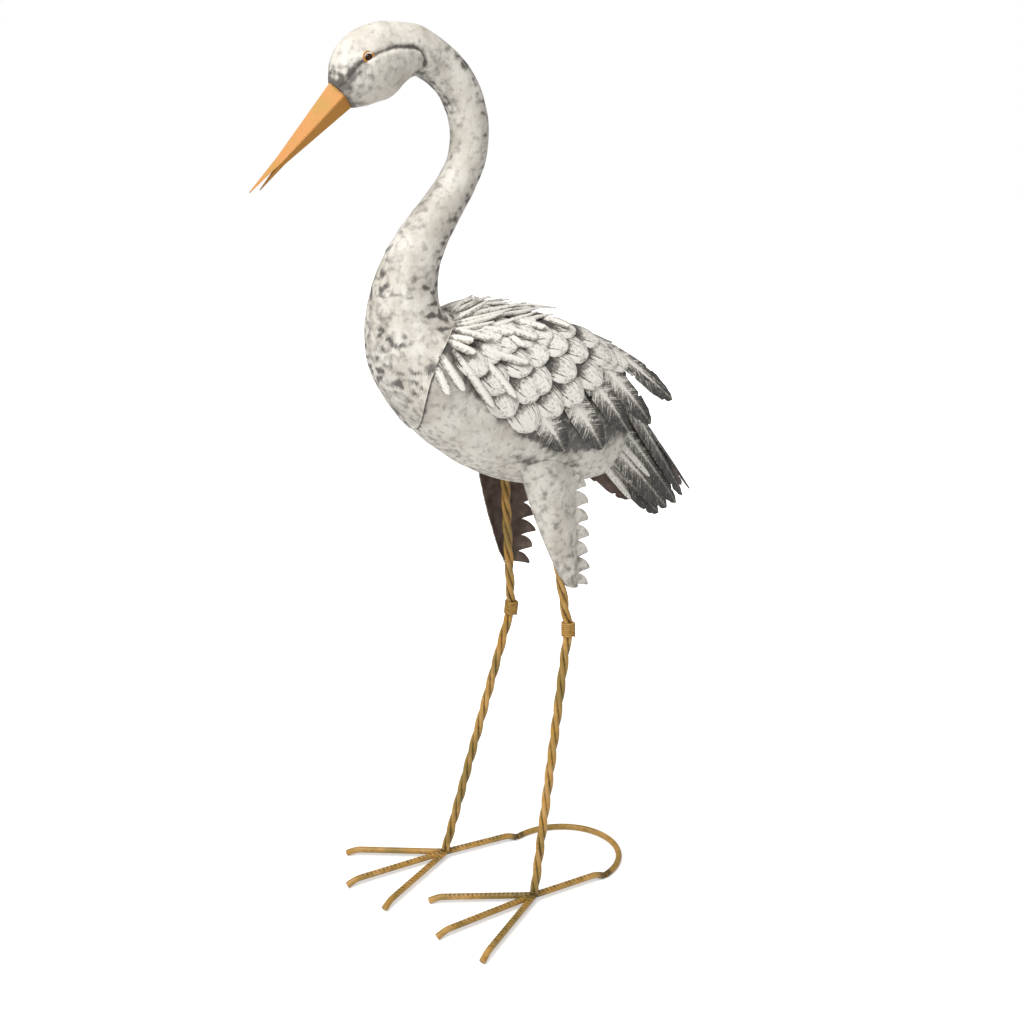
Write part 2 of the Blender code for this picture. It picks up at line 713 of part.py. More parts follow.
def tidy(target):
    """Keep the largest connected body and merge the faces that a flat was cut into."""
    bm = bmesh.new()
    bm.from_mesh(target.data)
    unseen = set(bm.verts)
    islands = []
    while unseen:
        reached = {unseen.pop()}
        front = list(reached)
        while front:
            vert = front.pop()
            for edge in vert.link_edges:
                other = edge.other_vert(vert)
                if other in unseen:
                    unseen.discard(other)
                    reached.add(other)
                    front.append(other)
        islands.append(reached)
    largest = max(islands, key=len)
    crumbs = [vert for vert in bm.verts if vert not in largest]
    bmesh.ops.delete(bm, geom=crumbs, context="VERTS")
    bmesh.ops.dissolve_limit(
        bm, angle_limit=math.radians(FLAT_ANGLE), verts=bm.verts, edges=bm.edges)
    bmesh.ops.triangulate(bm, faces=bm.faces)
    bm.to_mesh(target.data)
    bm.free()


def wing_place(row, around):
    """Place along the body of a slanting row of feathers at an angle around it."""
    return row + WING_SLANT_PLACES * (90.0 - around)


def wing_heading(around):
    """Heading of a wing feather, falling towards the ridge of the back."""
    share = min(1.0, around / STEEP_FROM_ANGLE)
    return RIDGE_HEADING_ANGLE + (WING_HEADING_ANGLE - RIDGE_HEADING_ANGLE) * share


SCALE_OUTLINE = ((0.0, 0.55), (0.68, 1.0), (1.0, 0.46))
FLIGHT_OUTLINE = ((0.0, 0.6), (0.40, 1.0), (0.82, 0.85), (1.0, 0.25))
HACKLE_OUTLINE = ((0.0, 0.8), (0.60, 1.0), (1.0, 0.35))


def make_wing(name, side, cutters):
    """Wing plate with slanting rows of scales and a last row of flight feathers."""
    knots = wing_knots()

    def spot(column, row):
        around = WING_TOP_ANGLE + (WING_LOW_ANGLE - WING_TOP_ANGLE) * row
        rear = wing_place(WING_REAR_PLACE, around)
        front = WING_FRONT_PLACE + WING_CUT_PLACES * row * row
        return front + (rear - front) * column, around

    plate = on_side(skin_plate(knots, WING_COLUMNS, WING_ROWS, spot), side)
    feathers = []
    for row, lowest, count, length in SCALE_ROWS:
        for index in range(count):
            around = lowest - SCALE_STEP_ANGLE * index
            lifts = (ROOT_LIFT, SCALE_TIP_LIFT + SCALE_STAGGER * (index % 2))
            rings = feather_rings(
                knots, wing_place(row, around), math.radians(around), wing_heading(around),
                length, length, SCALE_WIDTH, SCALE_OUTLINE, lifts)
            feathers.append(on_side(rings, side))
    for index, length in enumerate(FLIGHT_LENGTHS):
        share = index / (len(FLIGHT_LENGTHS) - 1)
        around = FLIGHT_TOP_ANGLE + (FLIGHT_LOW_ANGLE - FLIGHT_TOP_ANGLE) * share
        lifts = (ROOT_LIFT, FLIGHT_TIP_LIFT + SCALE_STAGGER * (index % 2))
        bank = FLIGHT_BANK_ANGLE * (1.0 - share)
        rings = feather_rings(
            knots, wing_place(FLIGHT_ROW_PLACE, around), math.radians(around), wing_heading(around),
            length, FLIGHT_HUG, FLIGHT_WIDTH, FLIGHT_OUTLINE, lifts, bank)
        feathers.append(on_side(rings, side))
    return fuse(name, plate, feathers, GREY_FEATHER, cutters)


def make_mantle(cutters):
    """Narrow hackles that fan back over both shoulders from a collar at the neck."""
    knots = wing_knots()

    def spot(column, row):
        place = COLLAR_FRONT_PLACE + (COLLAR_REAR_PLACE - COLLAR_FRONT_PLACE) * column
        return place, COLLAR_EDGE_ANGLE * (2.0 * row - 1.0)

    collar = skin_plate(knots, 1, COLLAR_ROWS, spot, COLLAR_SHEET)
    feathers = []
    for place, around, length in HACKLES:
        heading = HACKLE_HEADING_ANGLE * (around / COLLAR_EDGE_ANGLE) ** HACKLE_FAN
        lift = HACKLE_LIFT * min(1.0, length / HACKLE_REACH)
        for side in (1.0, -1.0):
            rings = feather_rings(
                knots, place, math.radians(around), heading, length, length,
                HACKLE_WIDTH, HACKLE_OUTLINE, (HACKLE_ROOT, HACKLE_ROOT + lift))
            feathers.append(on_side(rings, side))
    return fuse("shoulder_hackles", collar, feathers, ANTIQUE_WHITE, cutters)


def tail_feather(place, width, around, pitch, bank, length):
    """Rings of one straight tail feather that leaves the rump at a pitch."""
    start = skin_frame(body_knots(), place, math.radians(around), ROOT_LIFT)[0]
    slope = math.radians(pitch)
    splay = TAIL_SPLAY * math.sin(math.radians(around))
    along = Vector((splay, math.cos(slope), -math.sin(slope))).normalized()
    outward = Vector((1.0, 0.0, 0.0)).cross(along).normalized()
    outward = Matrix.Rotation(math.radians(bank), 3, along) @ outward
    beside = along.cross(outward).normalized()
    rings = []
    for share, breadth in FLIGHT_OUTLINE:
        middle = start + along * length * share
        half = beside * width * breadth / 2
        thick = outward * FEATHER_SHEET
        rings.append([middle + half, middle - half, middle - half + thick, middle + half + thick])
    return rings


def make_tail(cutters):
    """Long tail feathers and narrow strips that hang from a plate on the rump."""

    def spot(column, row):
        place = TAIL_FRONT_PLACE + (TAIL_REAR_PLACE - TAIL_FRONT_PLACE) * column
        return place, TAIL_EDGE_ANGLE * (2.0 * row - 1.0)

    plate = skin_plate(body_knots(), TAIL_COLUMNS, TAIL_ROWS, spot)
    feathers = []
    rows = [(TAIL_PLACE, TAIL_WIDTH, *feather) for feather in TAIL_FAN]
    rows += [(STRIP_PLACE, STRIP_WIDTH, *strip) for strip in TAIL_STRIPS]
    for feather in rows:
        for side in (1.0, -1.0):
            feathers.append(on_side(tail_feather(*feather), side))
    return fuse("tail", plate, feathers, GREY_FEATHER, cutters)


def settle(parts):
    """Stand the statue on the ground with its footprint centred on the origin."""
    depsgraph = bpy.context.evaluated_depsgraph_get()
    points = [
        part.matrix_world @ vert.co
        for part in parts
        for vert in part.evaluated_get(depsgraph).data.vertices
    ]
    low = Vector([min(point[axis] for point in points) for axis in range(3)])
    high = Vector([max(point[axis] for point in points) for axis in range(3)])
    stork = bpy.data.objects.new("stork", None)
    PARTS.objects.link(stork)
    stork.location = (-(low.x + high.x) / 2, -(low.y + high.y) / 2, -low.z)
    for part in parts:
        part.parent = stork
    bpy.context.view_layer.update()


def main():
    """Build every piece of the statue."""
    clear_scene()
    neck = neck_mesh("neck_and_head", ANTIQUE_WHITE)
    body = body_mesh("body", ANTIQUE_WHITE)
    body_cutter = body_mesh("body_clearance", None, FIT_GAP, CUTTERS)
    neck_cutter = neck_mesh("neck_clearance", None, FIT_GAP, CUTTERS)
    make_beak()
    for name, side in (("left", 1.0), ("right", -1.0)):
        make_eye(f"{name}_eye", side, neck)
        make_leg(f"{name}_leg", side, body)
        make_collar(f"{name}_knee_collar", side)
        make_foot(name, side)
        make_thigh(f"{name}_thigh", side, body_cutter)
        make_wing(f"{name}_wing", side, (body_cutter,))
    make_stay()
    make_mantle((body_cutter, neck_cutter))
    make_tail((body_cutter,))
    settle([part for part in PARTS.objects if part.type == "MESH"])


main()
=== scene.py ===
"""Looks of the walking metal stork, a garden statue of painted sheet steel on rod legs.

Metres, +Z up.  The bird looks along -Y and its left side is +X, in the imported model's own frame.
"""
import logging
import math
from collections.abc import Callable, Sequence
from dataclasses import dataclass, replace
from enum import Enum
from typing import NamedTuple

import bmesh
import bpy
from mathutils import Matrix, Vector, noise


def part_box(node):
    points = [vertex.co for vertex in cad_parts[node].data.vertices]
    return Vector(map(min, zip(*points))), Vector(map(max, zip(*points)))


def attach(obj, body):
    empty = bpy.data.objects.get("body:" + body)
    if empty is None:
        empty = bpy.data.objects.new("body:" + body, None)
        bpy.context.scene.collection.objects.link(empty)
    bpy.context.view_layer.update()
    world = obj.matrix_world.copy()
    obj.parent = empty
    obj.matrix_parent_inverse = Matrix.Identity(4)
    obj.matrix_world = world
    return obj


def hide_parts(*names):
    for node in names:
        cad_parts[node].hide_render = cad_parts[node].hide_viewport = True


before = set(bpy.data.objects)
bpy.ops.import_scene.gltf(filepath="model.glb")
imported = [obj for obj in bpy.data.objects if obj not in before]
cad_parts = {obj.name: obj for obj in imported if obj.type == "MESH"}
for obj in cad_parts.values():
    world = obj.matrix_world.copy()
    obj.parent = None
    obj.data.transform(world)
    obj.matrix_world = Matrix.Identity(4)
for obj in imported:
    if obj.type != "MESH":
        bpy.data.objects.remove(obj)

LOG = logging.getLogger("metal_stork")

Knot = tuple[float, ...]
Marks = dict[str, float]
Span = tuple[float, float]
Placing = Callable[[float, float], tuple[Vector, Marks]]

# The eye's centre where the bird is built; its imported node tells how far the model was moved
EYE_CENTRE = Vector((0.0265, -0.1392, 1.0112))
EYE_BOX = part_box("left_eye")
SETTLED = Vector((0.0, (EYE_BOX[0].y + EYE_BOX[1].y) / 2 - EYE_CENTRE.y, 0.0))

# Rings of the shells: y, z, lean, half depth, half width and bow
HEAD_AND_NECK: tuple[Knot, ...] = (
    (-0.1591, 0.9765, 133.0, 0.0168, 0.0125, 0.0),
    (-0.1553, 0.9806, 133.0, 0.0215, 0.0180, 0.0),
    (-0.1490, 0.9872, 132.0, 0.0278, 0.0235, 0.0),
    (-0.1400, 0.9955, 128.0, 0.0328, 0.0280, 0.0),
    (-0.1275, 1.0035, 120.0, 0.0357, 0.0310, 0.0),
    (-0.1120, 1.0110, 108.0, 0.0343, 0.0305, 0.0),
    (-0.0945, 1.0165, 95.0, 0.0290, 0.0270, 0.0),
    (-0.0745, 1.0180, 80.0, 0.0240, 0.0230, 0.0),
    (-0.0545, 1.0080, 60.0, 0.0218, 0.0212, 0.0),
    (-0.0352, 0.9912, 38.0, 0.0215, 0.0210, 0.0),
    (-0.0217, 0.9682, 18.0, 0.0211, 0.0207, 0.0),
    (-0.0168, 0.9420, 2.0, 0.0207, 0.0205, 0.0),
    (-0.0193, 0.9150, -14.0, 0.0201, 0.0202, 0.0),
    (-0.0307, 0.8910, -30.0, 0.0202, 0.0203, 0.0),
    (-0.0500, 0.8640, -36.0, 0.0220, 0.0215, 0.0),
    (-0.0700, 0.8375, -34.0, 0.0254, 0.0247, 0.0),
    (-0.0865, 0.8095, -22.0, 0.0302, 0.0294, 0.0),
    (-0.0965, 0.7800, -6.0, 0.0358, 0.0350, 0.0),
    (-0.0992, 0.7516, 12.0, 0.0422, 0.0415, 0.003),
    (-0.0945, 0.7259, 35.0, 0.0512, 0.0500, 0.008),
    (-0.0812, 0.7043, 55.0, 0.0601, 0.0580, 0.016),
    (-0.0700, 0.6905, 68.0, 0.0668, 0.0635, 0.027),
)
BODY: tuple[Knot, ...] = (
    (-0.0455, 0.6748, 78.5, 0.0790, 0.0675, 0.018),
    (-0.0155, 0.6605, 83.0, 0.0890, 0.0715, 0.008),
    (0.0250, 0.6453, 87.0, 0.0950, 0.0745, 0.003),
    (0.0675, 0.6340, 88.5, 0.0945, 0.0740, 0.0),
    (0.1065, 0.6225, 89.0, 0.0870, 0.0690, 0.0),
    (0.1400, 0.6105, 90.0, 0.0750, 0.0600, 0.0),
    (0.1625, 0.5995, 90.0, 0.0590, 0.0465, 0.0),
    (0.1775, 0.5905, 88.0, 0.0400, 0.0310, 0.0),
    (0.1850, 0.5865, 88.0, 0.0180, 0.0150, 0.0),
)
WING_SWEEP: tuple[Knot, ...] = (
    (0.0250, 0.6453, 87.0, 0.0990, 0.0760, 0.003),
    (0.0675, 0.6340, 88.5, 0.1050, 0.0775, 0.0),
    (0.1065, 0.6225, 89.0, 0.1040, 0.0760, 0.0),
    (0.1400, 0.6105, 90.0, 0.1010, 0.0720, 0.0),
    (0.1720, 0.5985, 90.0, 0.0980, 0.0660, 0.0),
    (0.2050, 0.5865, 90.0, 0.0940, 0.0590, 0.0),
    (0.2400, 0.5740, 90.0, 0.0890, 0.0510, 0.0),
)
SEAM_LIP = 0.0010
SEAM_GAP = 0.0003


class Side(Enum):
    """The two sides of the bird; the value is the sign of x."""

    LEFT = 1.0
    RIGHT = -1.0

    @property
    def word(self) -> str:
        """Name of the side as the model's nodes have it."""
        return self.name.lower()


class BarbLie(Enum):
    """How the brushed barbs lie on a feather."""

    LENGTHWISE = "lengthwise"
    SLANTED = "slanted"


class SkinFrame(NamedTuple):
    """A point over a form with its directions and how far one unit of place or angle goes."""

    point: Vector
    rearward: Vector
    down: Vector
    outward: Vector
    rear_rate: float
    down_rate: float

    def turned(self, along: Vector) -> "SkinFrame":
        """The same point, with rearward turned to run along a path."""
        return self._replace(rearward=along, down=along.cross(self.outward).normalized())


def shell_axes(lean: float) -> tuple[Vector, Vector]:
    """Unit vectors of a shell ring: up across it, and rearward along the shell."""
    angle = math.radians(lean)
    up = Vector((0.0, math.cos(angle), math.sin(angle)))
    return up, Vector((0.0, math.sin(angle), -math.cos(angle)))


def swing(first: Vector, second: Vector, angle: float) -> Vector:
    """Direction that lies an angle in radians from one direction towards another."""
    return first * math.cos(angle) + second * math.sin(angle)


def run_at(path: Sequence[Vector], index: int) -> Vector:
    """Direction of a path at one of its points."""
    return (path[min(index + 1, len(path) - 1)] - path[max(index - 1, 0)]).normalized()


def path_length(path: Sequence[Vector]) -> float:
    """Length of a path through its points."""
    return sum((end - start).length for start, end in zip(path, path[1:]))


def clamp(value: float) -> float:
    """Keep a value between 0 and 1."""
    return min(max(value, 0.0), 1.0)


def smooth(value: float, low: float, high: float) -> float:
    """Rise of a value from 0 at low to 1 at high with soft ends."""
    share = clamp((value - low) / (high - low))
    return share * share * (3.0 - 2.0 * share)


def bump(value: float, centre: float, width: float) -> float:
    """Bell curve of height 1 about a centre."""
    return math.exp(-((value - centre) / width) ** 2)


@dataclass(frozen=True)
class Shade:
    """Grime, wash, wear or painted shade on a part: what lies on it evenly and what its spots add.
    """

    even: float
    spotted: float

    def over(self, spots: float) -> float:
        """The amount where the spots have this strength."""
        return self.even + self.spotted * spots


@dataclass(frozen=True)
class ShellForm:
    """A smooth closed form through a row of elliptical rings."""

    knots: tuple[Knot, ...]

    @property
    def last(self) -> int:
        """Place of the last ring."""
        return len(self.knots) - 1

    def knot(self, place: float) -> Knot:
        """Blend the rings at a place.

        Args:
            place: where along the form, counted in rings.

        Returns:
            The ring's y, z, lean, half depth, half width and bow.
        """
        place = min(max(place, 0.0), float(self.last))
        low = min(int(place), self.last - 1)
        t = place - low
        row = [self.knots[min(max(low + offset, 0), self.last)] for offset in (-1, 0, 1, 2)]
        weights = (
            -0.5 * t + t * t - 0.5 * t ** 3,
            1.0 - 2.5 * t * t + 1.5 * t ** 3,
            0.5 * t + 2.0 * t * t - 1.5 * t ** 3,
            -0.5 * t * t + 0.5 * t ** 3,
        )
        return tuple(sum(w * ring[i] for w, ring in zip(weights, row)) for i in range(len(row[0])))

    def point(self, place: float, around: float, lift: float = 0.0) -> Vector:
        """Find a point over the form.

        Args:
            place: where along the form, counted in rings.
            around: angle in radians from the back down the left side.
            lift: height over the form.

        Returns:
            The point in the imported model's frame.
        """
        y, z, lean, deep, wide, bow = self.knot(place)
        up, rearward = shell_axes(lean)
        side = math.sin(around)
        point = SETTLED + Vector((0.0, y, z)) + up * (deep + lift) * math.cos(around)
        point += Vector((wide + lift, 0.0, 0.0)) * side
        return point - rearward * bow * side * side

    def frame(self, place: float, around: float, lift: float = 0.0) -> SkinFrame:
        """Find a point over the form with its directions.

        Args:
            place: where along the form, counted in rings.
            around: angle in radians from the back down the left side.
            lift: height over the form.

        Returns:
            The point, its unit directions and their rates.
        """
        step = 0.01
        place = min(max(place, step), self.last - step)
        rearward = self.point(place + step, around, lift) - self.point(place - step, around, lift)
        down = self.point(place, around + step, lift) - self.point(place, around - step, lift)
        outward = down.cross(rearward).normalized()
        rates = rearward.length / (2.0 * step), down.length / (2.0 * step)
        here = self.point(place, around) + outward * lift
        return SkinFrame(here, rearward.normalized(), down.normalized(), outward, *rates)

    def path_to(self, place: float, around: float, heading: float, length: float,
                steps: int) -> list[SkinFrame]:
        """Follow the form back from a tip.

        Args:
            place: where the tip lies along the form.
            around: the tip's angle in radians.
            heading: angle of the path below rearward, in radians.
            length: length of the path.
            steps: number of equal steps.

        Returns:
            Frames from the root to the tip, turned so that rearward runs along the path.
        """
        stride = length / steps
        frames = []
        for _ in range(steps + 1):
            skin = self.frame(place, around)
            frames.append(skin.turned(swing(skin.rearward, skin.down, heading).normalized()))
            place -= math.cos(heading) * stride / skin.rear_rate
            around -= math.sin(heading) * stride / skin.down_rate
        return frames[::-1]


def body_knots() -> tuple[Knot, ...]:
    """Body rings from the seam back, the first tucked just under the neck's lip."""
    y, z, lean, deep, wide, bow = HEAD_AND_NECK[-1]
    rearward = shell_axes(lean)[1] * SEAM_GAP
    start = (y + rearward.y, z + rearward.z, lean, deep - SEAM_LIP, wide - SEAM_LIP, bow)
    return (start, *BODY)


NECK_FORM = ShellForm(HEAD_AND_NECK)
BODY_FORM = ShellForm(body_knots())
WING_FORM = ShellForm((*body_knots()[:3], *WING_SWEEP))


def distance_to_line(point: Vector, line: Sequence[Vector]) -> float:
    """Measure how far a point is from a broken line.

    Args:
        point: the point.
        line: corners of the line.

    Returns:
        The least distance.
    """
    least = math.inf
    for start, end in zip(line, line[1:]):
        span = end - start
        share = clamp((point - start).dot(span) / span.length_squared)
        least = min(least, (point - start - span * share).length)
    return least


class PieceMesh:
    """Gathers the sheets and bars of one piece in one mesh."""

    # A seam closes where points are nearer than this
    seam_reach = 1e-6
    # The rise of a bar's run from which its rings start from the y axis
    steep_run = 0.9

    def __init__(self, *marks: str) -> None:
        """Start an empty mesh.

        Args:
            marks: names of the values that its points carry.
        """
        self.bm = bmesh.new()
        self.lie = self.bm.loops.layers.uv.new("lie")
        self.marks = {mark: self.bm.verts.layers.float.new(mark) for mark in marks}

    def sheet(self, columns: int, rows: int, placing: Placing,
              extent: Span = (1.0, 1.0)) -> list[bmesh.types.BMVert]:
        """Add a grid whose points are moved to their places.

        Args:
            columns: faces across.
            rows: faces along.
            placing: gives a point and its marks for shares across and along.
            extent: real width and length, for the UV map.

        Returns:
            The new points.
        """
        made = bmesh.ops.create_grid(self.bm, x_segments=columns, y_segments=rows, size=0.5)
        verts = made["verts"]
        shares = {vert: (vert.co.x + 0.5, vert.co.y + 0.5) for vert in verts}
        for face in {face for vert in verts for face in vert.link_faces}:
            for loop in face.loops:
                across, along = shares[loop.vert]
                loop[self.lie].uv = ((across - 0.5) * extent[0], along * extent[1])
        for vert, (across, along) in shares.items():
            vert.co, marks = placing(across, along)
            for mark, value in marks.items():
                vert[self.marks[mark]] = value
        return verts

    def wrapped(self, columns: int, rows: int, placing: Placing,
                extent: Span = (1.0, 1.0)) -> None:
        """Add a grid that is rolled into a closed body, its seam merged and its ends closed.

        Args:
            columns: faces around.
            rows: faces along.
            placing: gives a point and its marks for shares around and along.
            extent: real girth and length, for the UV map.
        """
        verts = self.sheet(columns, rows, placing, extent)
        bmesh.ops.remove_doubles(self.bm, verts=verts, dist=self.seam_reach)
        verts = [vert for vert in verts if vert.is_valid]
        rims = {edge for vert in verts for edge in vert.link_edges if edge.is_boundary}
        caps = bmesh.ops.holes_fill(self.bm, edges=list(rims), sides=0)["faces"]
        bmesh.ops.poke(self.bm, faces=caps)
        faces = {face for vert in verts for face in vert.link_faces}
        bmesh.ops.recalc_face_normals(self.bm, faces=list(faces))

    def bar(self, path: Sequence[Vector], radius: Callable[[float, float], float], sides: int,
            mark: Callable[[float, float], Marks] = lambda across, along: {}) -> None:
        """Add a closed bar that runs along a path.

        Args:
            path: centres of its rings.
            radius: radius for shares around and along.
            sides: faces around.
            mark: marks for shares around and along.
        """
        steep = abs(run_at(path, 0).z) >= self.steep_run
        lift = Vector((0.0, 1.0, 0.0)) if steep else Vector((0.0, 0.0, 1.0))
        frames = []
        for index, centre in enumerate(path):
            along = run_at(path, index)
            lift = (lift - along * lift.dot(along)).normalized()
            frames.append((centre, lift, lift.cross(along)))

        def placing(across: float, along: float) -> tuple[Vector, Marks]:
            """Find a point of the bar; share 0 and 1 around are its top."""
            centre, up, beside = frames[round(along * (len(path) - 1))]
            reach = swing(up, beside, math.tau * across) * radius(across, along)
            return centre + reach, mark(across, along)

        girth = math.tau * radius(0.25, 0.5)
        self.wrapped(sides, len(path) - 1, placing, (girth, path_length(path)))

    def mirror(self) -> None:
        """Turn the left piece into the right one, with its faces still outward."""
        bmesh.ops.scale(self.bm, vec=(-1.0, 1.0, 1.0), verts=self.bm.verts)
        bmesh.ops.reverse_faces(self.bm, faces=self.bm.faces)

    def dress(self, name: str, finishes: Sequence[bpy.types.Material],
              nodes: Sequence[str], edge_angle: float = 50.0) -> bpy.types.Object:
        """Turn the mesh into a finished piece of the model.

        Args:
            name: name of the piece.
            finishes: materials in the order of their numbers.
            nodes: the model's nodes that the piece stands for.
            edge_angle: folds sharper than this many degrees stay crisp.

        Returns:
            The piece.
        """
        mesh = bpy.data.meshes.new(name)
        self.bm.to_mesh(mesh)
        self.bm.free()
        mesh.shade_smooth()
        mesh.set_sharp_from_angle(angle=math.radians(edge_angle))
        for finish in finishes:
            mesh.materials.append(finish)
        piece = bpy.data.objects.new(name, mesh)
        bpy.context.scene.collection.objects.link(piece)
        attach(piece, "root")
        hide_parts(*nodes)
        LOG.info("%s: %d faces for %s", name, len(mesh.polygons), ", ".join(nodes))
        return piece


def give_thickness(piece: bpy.types.Object, thickness: float, offset: float = 1.0) -> None:
    """Give a sheet piece its thickness.

    Args:
        piece: the piece.
        thickness: thickness of the sheet.
        offset: 1 to grow outward and -1 to grow inward.
    """
    step = piece.modifiers.new("sheet", "SOLIDIFY")
    step.thickness = thickness
    step.offset = offset
    step.material_offset = 1


def add_far_side(piece: bpy.types.Object) -> None:
    """Repeat a piece on the other side of the bird."""
    step = piece.modifiers.new("both sides", "MIRROR")
    step.use_axis[0] = True
    step.use_mirror_merge = False


def linear(colour: str) -> tuple[float, float, float, float]:
    """Turn an sRGB hex colour into linear values.

    Args:
        colour: six hex digits.

    Returns:
        Red, green, blue and an alpha of 1.
    """
    parts = [int(colour[index:index + 2], 16) / 255.0 for index in (0, 2, 4)]
    red, green, blue = (
        part / 12.92 if part <= 0.04045 else ((part + 0.055) / 1.055) ** 2.4 for part in parts)
    return red, green, blue, 1.0


def add_node(tree: bpy.types.NodeTree, kind: str, inputs: dict[str | int, object],
             output: str | int = 0, **settings: object) -> bpy.types.NodeSocket:
    """Add a shader node with its settings and links.

    Args:
        tree: the node tree.
        kind: Blender's name for the node.
        inputs: a value, or a socket to link from, for each named or numbered input.
        output: the output that is wanted.
        settings: values for the node's own properties.

    Returns:
        The wanted output.
    """
    node = tree.nodes.new(kind)
    for name, value in settings.items():
        setattr(node, name, value)
    for key, value in inputs.items():
        if isinstance(value, bpy.types.NodeSocket):
            tree.links.new(value, node.inputs[key])
        else:
            node.inputs[key].default_value = value
    return node.outputs[output]


# Numbers of the colour sockets of a Mix node
MIX_A = 6
MIX_B = 7
MIX_RESULT = 2
WHITE = (1.0, 1.0, 1.0, 1.0)


@dataclass(frozen=True)
class Cloud:
    """Paint that lies in patches over the coat beneath, or where a mark asks for it."""

    colour: str
    size: float
    low: float
    high: float
    most: float = 1.0
    detail: float = 3.0
    mark: str = ""
    break_up: float = 1.0

    def lay(self, tree: bpy.types.NodeTree, spots: bpy.types.NodeSocket,
            under: object) -> bpy.types.NodeSocket:
        """Lay the patches over a coat.

        Args:
            tree: the node tree.
            spots: coordinates in metres.
            under: colour or socket of the coat beneath.

        Returns:
            The joined colour.
        """
        amount = add_node(tree, "ShaderNodeTexNoise", {
            "Vector": spots, "Scale": 1.0 / self.size, "Detail": self.detail}, "Fac")
        if self.mark:
            marked = add_node(tree, "ShaderNodeAttribute", {}, "Fac", attribute_name=self.mark)
            amount = add_node(tree, "ShaderNodeMath", {
                0: amount, 1: self.break_up, 2: marked}, operation="MULTIPLY_ADD")
        share = add_node(tree, "ShaderNodeMapRange", {
            "Value": amount, "From Min": self.low, "From Max": self.high, "To Max": self.most})
        return add_node(tree, "ShaderNodeMix", {
            "Factor": share, MIX_A: under, MIX_B: linear(self.colour),
        }, MIX_RESULT, data_type="RGBA")


@dataclass(frozen=True)
class Finish:
    """A painted finish: a coat with patches over it, and the dents in its skin."""

    title: str
    coat: str
    clouds: tuple[Cloud, ...] = ()
    dents: tuple[tuple[float, float, float], ...] = ()
    roughness: float = 0.5
    specular: float = 0.5

    def start(self) -> tuple[bpy.types.Material, bpy.types.NodeTree, bpy.types.Node]:
        """Start a material.

        Returns:
            The material, its node tree and its shader.
        """
        material = bpy.data.materials.new(self.title)
        material.use_nodes = True
        tree = material.node_tree
        shader = tree.nodes["Principled BSDF"]
        shader.inputs["Roughness"].default_value = self.roughness
        shader.inputs["Specular IOR Level"].default_value = self.specular
        return material, tree, shader

    def material(self) -> bpy.types.Material:
        """Build the paint from its coat, patches and dents."""
        material, tree, shader = self.start()
        spots = add_node(tree, "ShaderNodeTexCoord", {}, "Object")
        colour = linear(self.coat)
        for cloud in self.clouds:
            colour = cloud.lay(tree, spots, colour)
        if self.clouds:
            tree.links.new(colour, shader.inputs["Base Color"])
        else:
            shader.inputs["Base Color"].default_value = colour
        normal = None
        for size, depth, strength in self.dents:
            rough = add_node(tree, "ShaderNodeTexNoise", {
                "Vector": spots, "Scale": 1.0 / size, "Detail": 2.0}, "Fac")
            inputs = {"Height": rough, "Strength": strength, "Distance": depth}
            if normal:
                inputs["Normal"] = normal
            normal = add_node(tree, "ShaderNodeBump", inputs)
            tree.links.new(normal, shader.inputs["Normal"])
        return material


